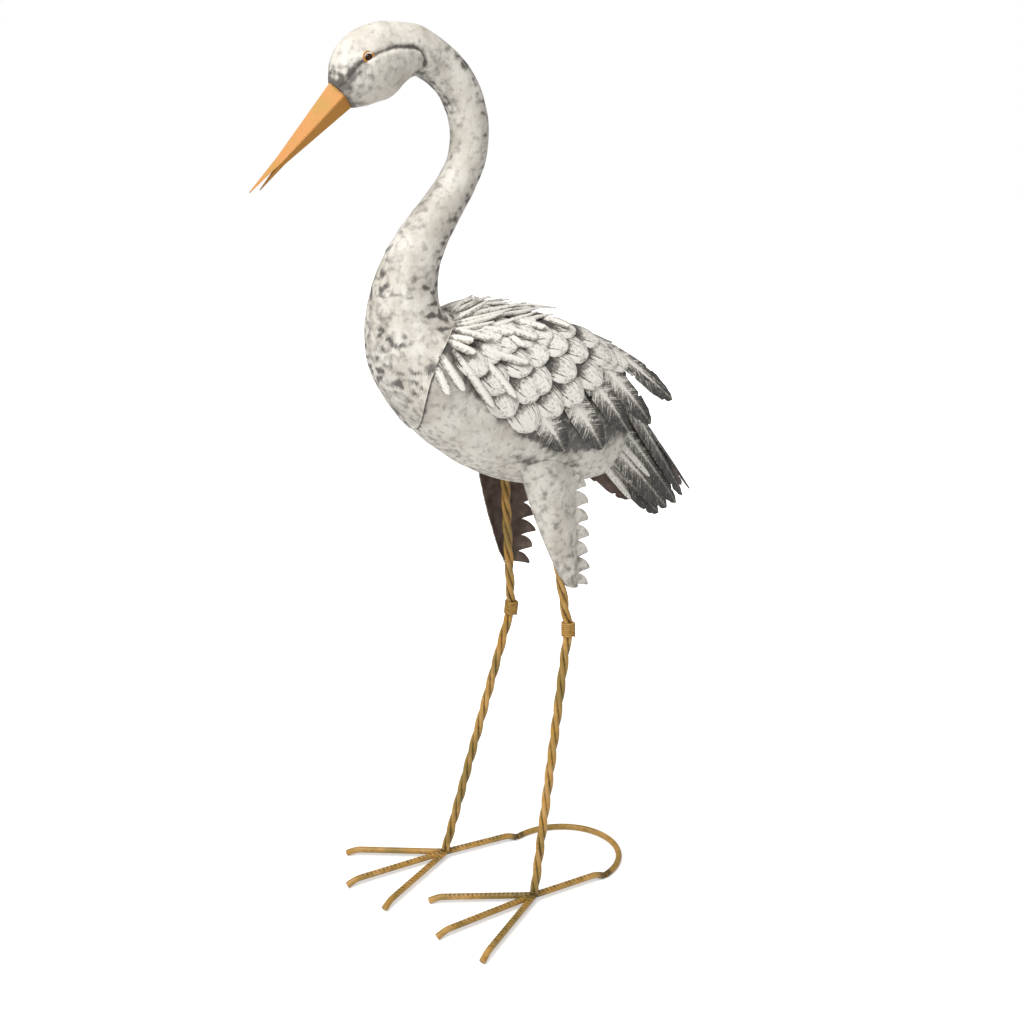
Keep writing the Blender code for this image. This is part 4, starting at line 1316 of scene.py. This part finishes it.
@dataclass
class RearStay:
    """Bent rod that joins the two heels behind the bird."""

    reach: float = 0.0725
    drift: float = 0.018
    setback_share: float = 0.29
    weld_bump: Span = (0.02, 0.022)
    wash: Shade = Shade(0.15, 0.85)
    rows: int = 96
    rod_sides: int = 20

    def build(self, palette: Palette) -> None:
        """Build the stay, washed darker towards the weld at each end, and dress it."""
        ends = []
        for side in (Side.RIGHT, Side.LEFT):
            foot = Foot(side)
            heading, length = foot.headings()["back_toe"]
            tip = foot.path(heading, length)[-1]
            setback = SEAM_GAP + foot.stance.toe_rod * self.setback_share
            ends.append(tip + foot.direction(heading) * setback)
        right, left = ends
        radius = Stance().toe_rod / 2
        path = []
        for step in range(self.rows + 1):
            angle = math.pi * step / self.rows
            share = (1.0 - math.cos(angle)) / 2
            bulge = Vector((-self.drift, self.reach, 0.0)) * math.sin(angle)
            point = right.lerp(left, share) + bulge
            point.z = radius
            path.append(point)

        def near_end(along: float) -> float:
            """How close a share along is to either weld."""
            return bump(min(along, 1.0 - along), *self.weld_bump)

        mesh = PieceMesh("groove")
        mesh.bar(
            path, lambda around, along: radius, self.rod_sides,
            lambda around, along: {"groove": clamp(self.wash.over(near_end(along)))})
        mesh.dress("heel_stay", [palette.ochre], ["rear_stay"])


@dataclass
class ThighPlate:
    """Curved plate over the thigh with rounded fingers down its rear edge."""

    side: Side
    top: float = 0.602
    foot: float = 0.420
    front_top: float = 0.012
    front_foot: float = 0.0645
    rear_top: float = 0.088
    rear_foot: float = 0.0855
    offset: float = 0.0505
    bulge: float = 0.011
    lead: float = 0.0135
    fingers: float = 8.6
    finger_reach: float = 0.0205
    finger_curl: float = 0.10
    finger_droop: float = 0.0065
    pebble: float = 0.0009
    plain_share: float = 0.72
    front_curve: float = 1.5
    finger_bluntness: float = 0.38
    middle_share: float = 0.45
    foot_taper: float = 0.30
    spot_size: float = 0.011
    pebble_size: float = 0.0065
    shade: Shade = Shade(0.06, 0.20)
    foot_shade: float = 0.2
    edge_shade: float = 0.35
    lip_shade: float = 0.8
    lip_bump: Span = (0.03, 0.02)
    finger_mean: float = 0.88
    finger_vary: float = 0.24
    extent: Span = (0.06, 0.18)
    sheet: float = 0.0012
    columns: int = 34
    rows: int = 252

    def build(self, palette: Palette) -> None:
        """Build the plate and dress it, cream outside and brown inside."""
        mesh = PieceMesh("grime_and_shade")

        def placing(across: float, down: float) -> tuple[Vector, Marks]:
            """Find a point of the left plate."""
            front = self.front_top + (self.front_foot - self.front_top) * down ** self.front_curve
            rear = self.rear_top + (self.rear_foot - self.rear_top) * down
            wave = 0.5 - 0.5 * math.cos(math.tau * self.fingers * down)
            chance = noise.noise(Vector((down * 9.0, 0.5, self.side.value)))
            uneven = self.finger_mean + self.finger_vary * chance
            finger = self.finger_reach * wave ** self.finger_bluntness * uneven
            share = min(across / self.plain_share, 1.0)
            beyond = max(across - self.plain_share, 0.0) / (1.0 - self.plain_share)
            curl = 1.0 - (2.0 * share - 1.0) ** 2
            off_middle = 2.0 * abs(share - self.middle_share)
            rounded = 1.0 - smooth(down, 0.90, 1.0) * self.foot_taper * off_middle ** 2
            middle = front + (rear - front) * self.middle_share
            y = middle + (front + (rear - front) * share - middle) * rounded + finger * beyond
            y += self.lead * self.side.value * down
            x = self.offset + self.bulge * curl - finger * beyond * self.finger_curl
            z = self.top + (self.foot - self.top) * down - self.finger_droop * beyond * wave
            spot = Vector((x, y, z)) + SETTLED
            spots = smooth(noise.noise(spot / self.spot_size), 0.0, 0.35)
            spot.x += self.pebble * noise.noise(spot / self.pebble_size)
            edge = max(0.7 * bump(across, 0.0, 0.04), 0.55 * beyond * (1.0 - wave))
            grime_and_shade = self.shade.over(spots) + self.edge_shade * edge
            # Painted shade along the top, where the plate meets the body
            grime_and_shade += self.lip_shade * bump(down, *self.lip_bump)
            grime_and_shade += self.foot_shade * smooth(down, 0.5, 1.0)
            return spot, {"grime_and_shade": clamp(grime_and_shade)}

        mesh.sheet(self.columns, self.rows, placing, self.extent)
        bmesh.ops.reverse_faces(mesh.bm, faces=mesh.bm.faces)
        if self.side is Side.RIGHT:
            mesh.mirror()
        piece = mesh.dress(
            f"{self.side.word}_thigh_plate", [palette.white, palette.brown],
            [f"{self.side.word}_thigh"])
        give_thickness(piece, self.sheet, -1.0)


@dataclass(frozen=True)
class FeatherCut:
    """How one kind of feather is cut, pressed and brushed."""

    length: float
    width: float
    root_lift: float
    tip_lift: float
    crown: float
    rib: float
    columns: int
    rows: int
    outline: tuple[Span, ...]
    pale_root: float
    pale_tip: float
    fade: Span
    pale_edge: float
    barbs: float
    notches: int = 0
    notch_depth: float = 0.0
    notch_width: float = 0.0
    pale_rim: float = 0.0
    rim: float = 0.0022
    pale_rachis: float = 0.0
    rachis_width: float = 0.10
    rib_width: float = 0.11
    pale_vary: float = 0.12
    notch_middle: float = 0.67
    notch_sway: float = 0.25

    def breadth(self, along: float) -> float:
        """Share of the full width at a share of the length."""
        for (start, low), (end, high) in zip(self.outline, self.outline[1:]):
            if along <= end:
                return low + (high - low) * smooth(along, start, end)
        return self.outline[-1][1]


def lay_feather(mesh: PieceMesh, cut: FeatherCut, path: Sequence[SkinFrame], seed: float) -> None:
    """Add one feather along a path of frames.

    Args:
        mesh: the mesh that takes it.
        cut: how it is cut.
        path: frames from root to tip, one for each row.
        seed: number that varies it.
    """
    slots = [
        (side, cut.notch_middle + cut.notch_sway * math.sin(
            seed * 2.3 + index * 2.1 + side * 1.7))
        for side in (-1.0, 1.0) for index in range(cut.notches)
    ]

    def placing(across: float, along: float) -> tuple[Vector, Marks]:
        """Find a point of the feather."""
        skin = path[round(along * cut.rows)]
        beside = 2.0 * across - 1.0
        half = cut.width * cut.breadth(along) / 2
        for side, centre in slots:
            if side * beside > 0.0:
                half *= 1.0 - cut.notch_depth * max(
                    0.0, 1.0 - abs(along - centre) / cut.notch_width) * abs(beside) ** 0.5
        lift = cut.root_lift + (cut.tip_lift - cut.root_lift) * along
        lift -= cut.crown * beside * beside * cut.breadth(along)
        lift += cut.rib * bump(beside, 0.0, cut.rib_width) * (1.0 - 0.5 * along)
        spot = skin.point + skin.down * half * beside + skin.outward * lift
        to_side = half * (1.0 - abs(beside))
        to_rim = min(to_side, cut.length * (1.0 - along) * 0.75 + 0.0002)
        # On the scales the dark root is partly grey paint and partly painted shadow of the scale
        # that lies over it
        pale = cut.pale_root + (cut.pale_tip - cut.pale_root) * smooth(along, *cut.fade)
        pale += cut.pale_edge * abs(beside) ** 1.5
        pale += cut.pale_rim * (1.0 - smooth(to_rim, 0.3 * cut.rim, 1.3 * cut.rim))
        pale += cut.pale_rachis * bump(beside, 0.0, cut.rachis_width) * (1.0 - 0.4 * along)
        pale += cut.pale_vary * noise.noise(Vector((seed * 5.1, 0.0, 0.0)))
        barbs = cut.barbs * smooth(abs(beside), 0.08, 0.5)
        return spot, {"pale": pale, "barbs": barbs}

    mesh.sheet(cut.columns, cut.rows, placing, (cut.width, cut.length))


# The scales' dark roots are partly grey paint and partly painted shadow of the scale before
SCALE_CUT = FeatherCut(
    length=0.048, width=0.037, root_lift=0.0008, tip_lift=0.0058, crown=0.0030, rib=0.0,
    columns=20, rows=26, pale_root=-0.10, pale_tip=0.86, fade=(0.28, 0.66),
    pale_edge=-0.08, pale_rim=0.34, rim=0.0015, barbs=0.80,
    outline=((0.0, 0.55), (0.50, 1.0), (0.68, 0.98), (0.84, 0.82), (0.94, 0.53), (1.0, 0.10)))
BLADE_CUT = FeatherCut(
    length=0.125, width=0.031, root_lift=0.0010, tip_lift=0.0034, crown=0.0020, rib=0.0011,
    columns=28, rows=108, notches=2, notch_depth=0.34, notch_width=0.022, pale_root=0.92,
    pale_tip=0.12, fade=(0.40, 0.92), pale_edge=-0.44, pale_rim=0.25, rim=0.0009,
    pale_rachis=0.50, barbs=0.85,
    outline=((0.0, 0.62), (0.40, 1.0), (0.74, 0.92), (0.88, 0.70), (0.96, 0.40), (1.0, 0.08)))
HACKLE_CUT = FeatherCut(
    length=0.080, width=0.0092, root_lift=0.0014, tip_lift=0.0110, crown=0.0040, rib=0.0,
    columns=12, rows=48, pale_root=0.50, pale_tip=1.0, fade=(0.0, 0.4),
    pale_edge=-0.50, barbs=0.25,
    outline=((0.0, 0.85), (0.20, 1.0), (0.86, 0.98), (0.95, 0.75), (1.0, 0.25)))
TAIL_CUT = replace(
    BLADE_CUT, root_lift=0.0, tip_lift=0.0, columns=20, rows=80, pale_root=0.72, pale_tip=0.10,
    fade=(0.2, 0.8))
NARROW_CUT = replace(
    TAIL_CUT, notches=0, pale_root=0.9, pale_tip=0.8, fade=BLADE_CUT.fade, pale_edge=0.0,
    rib=0.0)


@dataclass
class Wing:
    """Folded wing: a plate with scales, and long ribbed blades behind them."""

    side: Side
    sheet: float = 0.0012
    scales: tuple[tuple[float, ...], ...] = (
        (3.24, 38), (4.08, 44), (4.64, 26), (5.52, 29), (3.40, 53), (4.72, 47), (5.76, 43),
        (2.84, 63), (4.12, 63), (5.04, 64), (3.32, 73), (2.12, 80), (2.96, 80), (4.24, 78),
        (2.36, 94), (3.60, 87), (2.92, 100), (3.44, 21), (3.72, 36), (6.04, 44), (6.60, 42),
        (2.55, 47), (2.00, 58), (2.65, 33), (1.55, 71), (2.10, 41),
    )
    blades: tuple[tuple[float, ...], ...] = (
        (8.56, 56, 0.125), (8.32, 48, 0.125), (7.36, 80, 0.115), (6.20, 90, 0.105),
        (5.12, 105, 0.090), (3.84, 110, 0.066),
    )
    plate_front: float = 0.55
    plate_cut: float = 1.5
    plate_rear: float = 3.30
    plate_slant: float = 0.043
    plate_top: float = 9.0
    plate_low: float = 92.0
    plate_lift: float = 0.0006
    plate_columns: int = 24
    plate_rows: int = 28
    plate_extent: Span = (0.12, 0.12)
    plate_pale: float = 0.52
    plate_barbs: float = 0.5
    fan_turn: float = 5.0
    fan_start: float = 25.0
    fan_rate: float = 0.58
    fan_limit: float = 48.0

    def heading(self, around: float) -> float:
        """Heading of a feather in radians, steeper the lower it lies."""
        turn = self.fan_turn + (around - self.fan_start) * self.fan_rate
        return math.radians(min(max(turn, 0.0), self.fan_limit))

    def plate_spot(self, across: float, along: float) -> tuple[Vector, Marks]:
        """Find a point of the plate under the feathers."""
        around = self.plate_top + (self.plate_low - self.plate_top) * across
        rear = self.plate_rear + self.plate_slant * (90.0 - around)
        front = self.plate_front + self.plate_cut * across * across
        place = front + (rear - front) * along
        skin = WING_FORM.frame(place, math.radians(around), self.plate_lift)
        return skin.point, {"pale": self.plate_pale, "barbs": self.plate_barbs}

    def lay(self, mesh: PieceMesh, cut: FeatherCut, tips: Sequence[Sequence[float]]) -> None:
        """Lay a kind of feather by its tips.

        Args:
            mesh: the mesh that takes them.
            cut: how they are cut.
            tips: place and angle of each tip, and a path's length where it isn't the cut's.
        """
        for index, (place, around, *own) in enumerate(tips):
            length = own[0] if own else cut.length
            path = WING_FORM.path_to(
                place, math.radians(around), self.heading(around), length, cut.rows)
            lay_feather(mesh, cut, path, float(index))

    def finish(self, mesh: PieceMesh, kind: str, paint: bpy.types.Material,
               palette: Palette) -> None:
        """Turn a mesh of the left wing into a piece of this one.

        Args:
            mesh: the mesh.
            kind: last word of the piece's name.
            paint: the paint on its outer face.
            palette: the statue's finishes.
        """
        if self.side is Side.RIGHT:
            mesh.mirror()
        piece = mesh.dress(
            f"{self.side.word}_wing_{kind}", [paint, palette.brown],
            [f"{self.side.word}_wing"])
        give_thickness(piece, self.sheet)

    def build(self, palette: Palette) -> None:
        """Build the wing and dress it."""
        scales = PieceMesh("pale", "barbs")
        scales.sheet(self.plate_columns, self.plate_rows, self.plate_spot, self.plate_extent)
        self.lay(scales, SCALE_CUT, self.scales)
        self.finish(scales, "scales", palette.scale, palette)
        blades = PieceMesh("pale", "barbs")
        self.lay(blades, BLADE_CUT, self.blades)
        self.finish(blades, "blades", palette.blade, palette)


@dataclass
class ShoulderHackles:
    """Narrow curved strips that fan back over both shoulders from the neck's lip."""

    sheet: float = 0.0010
    strips: tuple[tuple[float, float, float, float], ...] = (
        (0.02, 83, 0.56, 96), (0.02, 71, 0.92, 88), (0.4, 62, 1.8, 92), (0.04, 55, 1.08, 60),
        (1.24, 58, 2.36, 82), (0.08, 50, 0.96, 51), (0.02, 40, 1.68, 46), (1.08, 53, 2.72, 59),
        (0.88, 32, 2.44, 39), (1.52, 25, 3.12, 41), (1.8, 27, 2.68, 48), (2.56, 17, 3.52, 32),
        (3.56, 10, 4.32, 28),
    )
    top_strips: tuple[tuple[float, ...], ...] = (
        (0.02, 26, 2.88, -5, 0.0115), (0.02, 18, 3.68, -6, 0.0115), (0.02, 20, 4.48, 0, 0.0115),
        (0.05, 36, 2.30, 22, 0.0120), (0.05, 31, 2.70, 17, 0.0140), (0.05, 25, 2.00, 9, 0.0160),
        (0.05, 21, 3.20, 9, 0.0150), (0.05, 12, 2.30, -2, 0.0170), (0.05, 7, 1.70, -5, 0.0170),
        (0.05, 3, 2.90, -7, 0.0150), (0.90, 36, 3.60, 14, 0.0090), (1.30, 30, 4.10, 14, 0.0080),
        (0.50, 44, 2.70, 24, 0.0075), (0.60, 24, 3.90, 8, 0.0110), (0.05, 41, 1.90, 30, 0.0090),
    )
    bend: float = 1.25
    low_lift: float = 0.0112
    top_width: float = 0.0062
    top_seed: float = 20.0
    top_outline: tuple[Span, ...] = (
        (0.0, 0.8), (0.35, 1.0), (0.75, 0.75), (1.0, 0.08))

    def strip(self, mesh: PieceMesh, ends: Sequence[float], seed: float,
              **changes: object) -> None:
        """Add one strip between two places on the form.

        Args:
            mesh: the mesh that takes it.
            ends: place and angle of its root, then of its tip.
            seed: number that varies it.
            changes: what differs from the usual cut.
        """
        rows = HACKLE_CUT.rows
        start, start_turn, end, end_turn = ends
        skins = []
        for row in range(rows + 1):
            share = row / rows
            place = start + (end - start) * share
            turn = start_turn + (end_turn - start_turn) * share ** self.bend
            skins.append(WING_FORM.frame(place, math.radians(turn)))
        line = [skin.point for skin in skins]
        path = [skin.turned(run_at(line, row)) for row, skin in enumerate(skins)]
        lay_feather(mesh, replace(HACKLE_CUT, length=path_length(line), **changes), path, seed)

    def build(self, palette: Palette) -> None:
        """Build the strips of both sides and dress them."""
        mesh = PieceMesh("pale", "barbs")
        for index, ends in enumerate(self.strips):
            self.strip(mesh, ends, float(index), tip_lift=self.low_lift)
        for index, (*ends, tip_lift) in enumerate(self.top_strips):
            self.strip(
                mesh, ends, self.top_seed + index, tip_lift=tip_lift, width=self.top_width,
                outline=self.top_outline)
        piece = mesh.dress(
            "shoulder_strips", [palette.scale, palette.brown],
            ["shoulder_hackles"])
        give_thickness(piece, self.sheet)
        add_far_side(piece)


@dataclass
class Tail:
    """Long ribbed feathers and narrow strips that hang from the rump."""

    sheet: float = 0.0012
    spring: float = 0.012
    seed_step: float = 1.7
    feathers: tuple[tuple[float, ...], ...] = (
        (0.0367, 0.1350, 0.5990, 0.0408, 0.2322, 0.4913, 0.85, -0.10, 0.50, 0.031),
        (0.0300, 0.1480, 0.6250, 0.0345, 0.2510, 0.4925, 0.78, -0.02, 0.60, 0.030),
        (0.0205, 0.1625, 0.6528, 0.0255, 0.2676, 0.4970, 0.60, 0.10, 0.75, 0.031),
        (0.0065, 0.1625, 0.6582, 0.0083, 0.2920, 0.4966, 0.25, 0.30, 0.90, 0.029),
    )
    under_feathers: tuple[tuple[float, ...], ...] = (
        (0.0300, 0.1300, 0.5770, 0.0300, 0.2278, 0.4817, 0.80, -0.10, 0.50, 0.029),
    )
    narrow: tuple[tuple[float, ...], ...] = (
        (0.0360, 0.1300, 0.5900, 0.0395, 0.1930, 0.5210, 0.90, -0.20, 0.40, 0.008),
        (0.0340, 0.1220, 0.5830, 0.0385, 0.1790, 0.5110, 0.90, -0.25, 0.35, 0.008),
        (0.0370, 0.1420, 0.6050, 0.0400, 0.2050, 0.5360, 0.90, -0.15, 0.42, 0.007),
    )

    def path(self, row: tuple[float, ...], rows: int) -> list[SkinFrame]:
        """Lay the gently sprung path of one feather.

        Args:
            row: root, tip and facing of the feather, then its width.
            rows: number of equal steps.

        Returns:
            Frames from root to tip.
        """
        root, tip, facing = Vector(row[0:3]), Vector(row[3:6]), Vector(row[6:9])
        root, tip = root + SETTLED, tip + SETTLED
        along = (tip - root).normalized()
        outward = (facing - along * facing.dot(along)).normalized()
        beside = along.cross(outward)
        frames = []
        for step in range(rows + 1):
            share = step / rows
            lift = self.spring * (share - share * share)
            frames.append(SkinFrame(
                root.lerp(tip, share) + outward * lift, along, beside, outward, 1.0, 1.0))
        return frames

    def build(self, palette: Palette) -> None:
        """Build the tail of both sides and dress it."""
        mesh = PieceMesh("pale", "barbs")
        laid = [(TAIL_CUT, row) for row in (*self.feathers, *self.under_feathers)]
        laid += [(NARROW_CUT, row) for row in self.narrow]
        for number, (cut, row) in enumerate(laid, 1):
            length = (Vector(row[3:6]) - Vector(row[0:3])).length
            cut = replace(cut, length=length, width=row[-1])
            lay_feather(mesh, cut, self.path(row, cut.rows), self.seed_step * number)
        piece = mesh.dress(
            "tail_feathers", [palette.blade, palette.brown], ["tail"])
        give_thickness(piece, self.sheet)
        add_far_side(piece)


@dataclass
class Studio:
    """Camera, lights and floor."""

    lens: float = 42.19
    sensor: float = 36.0
    eye_point: Vector = Vector((1.1729, -0.6312, 0.9816))
    right: Vector = Vector((0.4939, 0.8695, 0.0))
    forward: Vector = Vector((-0.8201, 0.4659, -0.3322))
    up: Vector = Vector((-0.2888, 0.1641, 0.9432))
    world_strength: float = 0.38
    key_power: float = 76.0
    key_size: float = 1.9
    key_place: Vector = Vector((0.75, -1.45, 2.85))
    key_aim: Vector = Vector((0.0, 0.0, 0.55))
    glow_near: float = 0.38
    glow_start: float = 0.25
    glow_end: float = 0.9
    floor_half: float = 6.0

    def camera(self) -> None:
        """Set the camera where the photograph was taken."""
        data = bpy.data.cameras.new("photograph")
        data.lens = self.lens
        data.sensor_width = self.sensor
        camera = bpy.data.objects.new("photograph", data)
        turn = Matrix((self.right, self.up, -self.forward)).transposed()
        place = self.eye_point + SETTLED
        camera.matrix_world = Matrix.Translation(place) @ turn.to_4x4()
        bpy.context.scene.collection.objects.link(camera)
        bpy.context.scene.camera = camera

    def lights(self) -> None:
        """Fill the room with soft white and add a large light from the upper left."""
        world = bpy.data.worlds.new("white room")
        world.use_nodes = True
        tree = world.node_tree
        light = add_node(tree, "ShaderNodeBackground", {
            "Color": WHITE, "Strength": self.world_strength})
        seen = add_node(tree, "ShaderNodeBackground", {"Color": WHITE})
        rays = add_node(tree, "ShaderNodeLightPath", {}, "Is Camera Ray")
        both = add_node(tree, "ShaderNodeMixShader", {0: rays, 1: light, 2: seen})
        tree.links.new(both, tree.nodes["World Output"].inputs["Surface"])
        bpy.context.scene.world = world
        data = bpy.data.lights.new("key", "AREA")
        data.energy = self.key_power
        data.size = self.key_size
        key = bpy.data.objects.new("key", data)
        turn = (self.key_aim - self.key_place).to_track_quat("-Z", "Y").to_matrix()
        key.matrix_world = Matrix.Translation(self.key_place) @ turn.to_4x4()
        bpy.context.scene.collection.objects.link(key)

    def floor_material(self) -> bpy.types.Material:
        """Make the floor's white, with painted light: a glow seen only by the camera that
        brightens away from the statue as a lit backdrop does.
        """
        material = FLOOR_WHITE.material()
        tree = material.node_tree
        shader = tree.nodes["Principled BSDF"]
        spots = add_node(tree, "ShaderNodeTexCoord", {}, "Object")
        distance = add_node(tree, "ShaderNodeVectorMath", {0: spots}, "Value", operation="LENGTH")
        glow = add_node(tree, "ShaderNodeMapRange", {
            "Value": distance, "From Min": self.glow_start, "From Max": self.glow_end,
            "To Min": self.glow_near, "To Max": 1.0})
        # Painted light: emission for camera rays only, which washes out the key light's shadow
        # away from the feet
        seen = add_node(tree, "ShaderNodeLightPath", {}, "Is Camera Ray")
        strength = add_node(tree, "ShaderNodeMath", {0: glow, 1: seen}, operation="MULTIPLY")
        shader.inputs["Emission Color"].default_value = WHITE
        tree.links.new(strength, shader.inputs["Emission Strength"])
        return material

    def floor(self) -> None:
        """Lay the white floor."""
        bm = bmesh.new()
        bmesh.ops.create_grid(bm, x_segments=1, y_segments=1, size=self.floor_half)
        mesh = bpy.data.meshes.new("studio_floor")
        bm.to_mesh(mesh)
        bm.free()
        mesh.materials.append(self.floor_material())
        floor = bpy.data.objects.new("studio_floor", mesh)
        bpy.context.scene.collection.objects.link(floor)


def main() -> None:
    """Build the studio and every piece of the statue."""
    logging.basicConfig(level=logging.INFO, format="%(name)s %(message)s")
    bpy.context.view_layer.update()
    bpy.context.scene.view_settings.view_transform = "Standard"
    studio = Studio()
    studio.camera()
    studio.lights()
    studio.floor()
    palette = Palette(
        white=ANTIQUED_WHITE.material(),
        scale=FeatherPaint("dry-brushed scale paint", "4A4744").material(),
        blade=FeatherPaint(
            "dry-brushed blade paint", "43413F", lie=BarbLie.SLANTED).material(),
        brown=BROWN_PRIMER.material(),
        ochre=GOLDEN_OCHRE.material(),
        beak=BEAK_ORANGE.material(),
        glass=EYE_GLASS.material(),
    )
    for part in (NeckShell, BodyShell, Beak, Eyes, ShoulderHackles, Tail, RearStay):
        part().build(palette)
    for side in Side:
        for part in (TwistedLeg, KneeCoil, Foot, ThighPlate, Wing):
            part(side).build(palette)


if __name__ == "__main__":
    main()
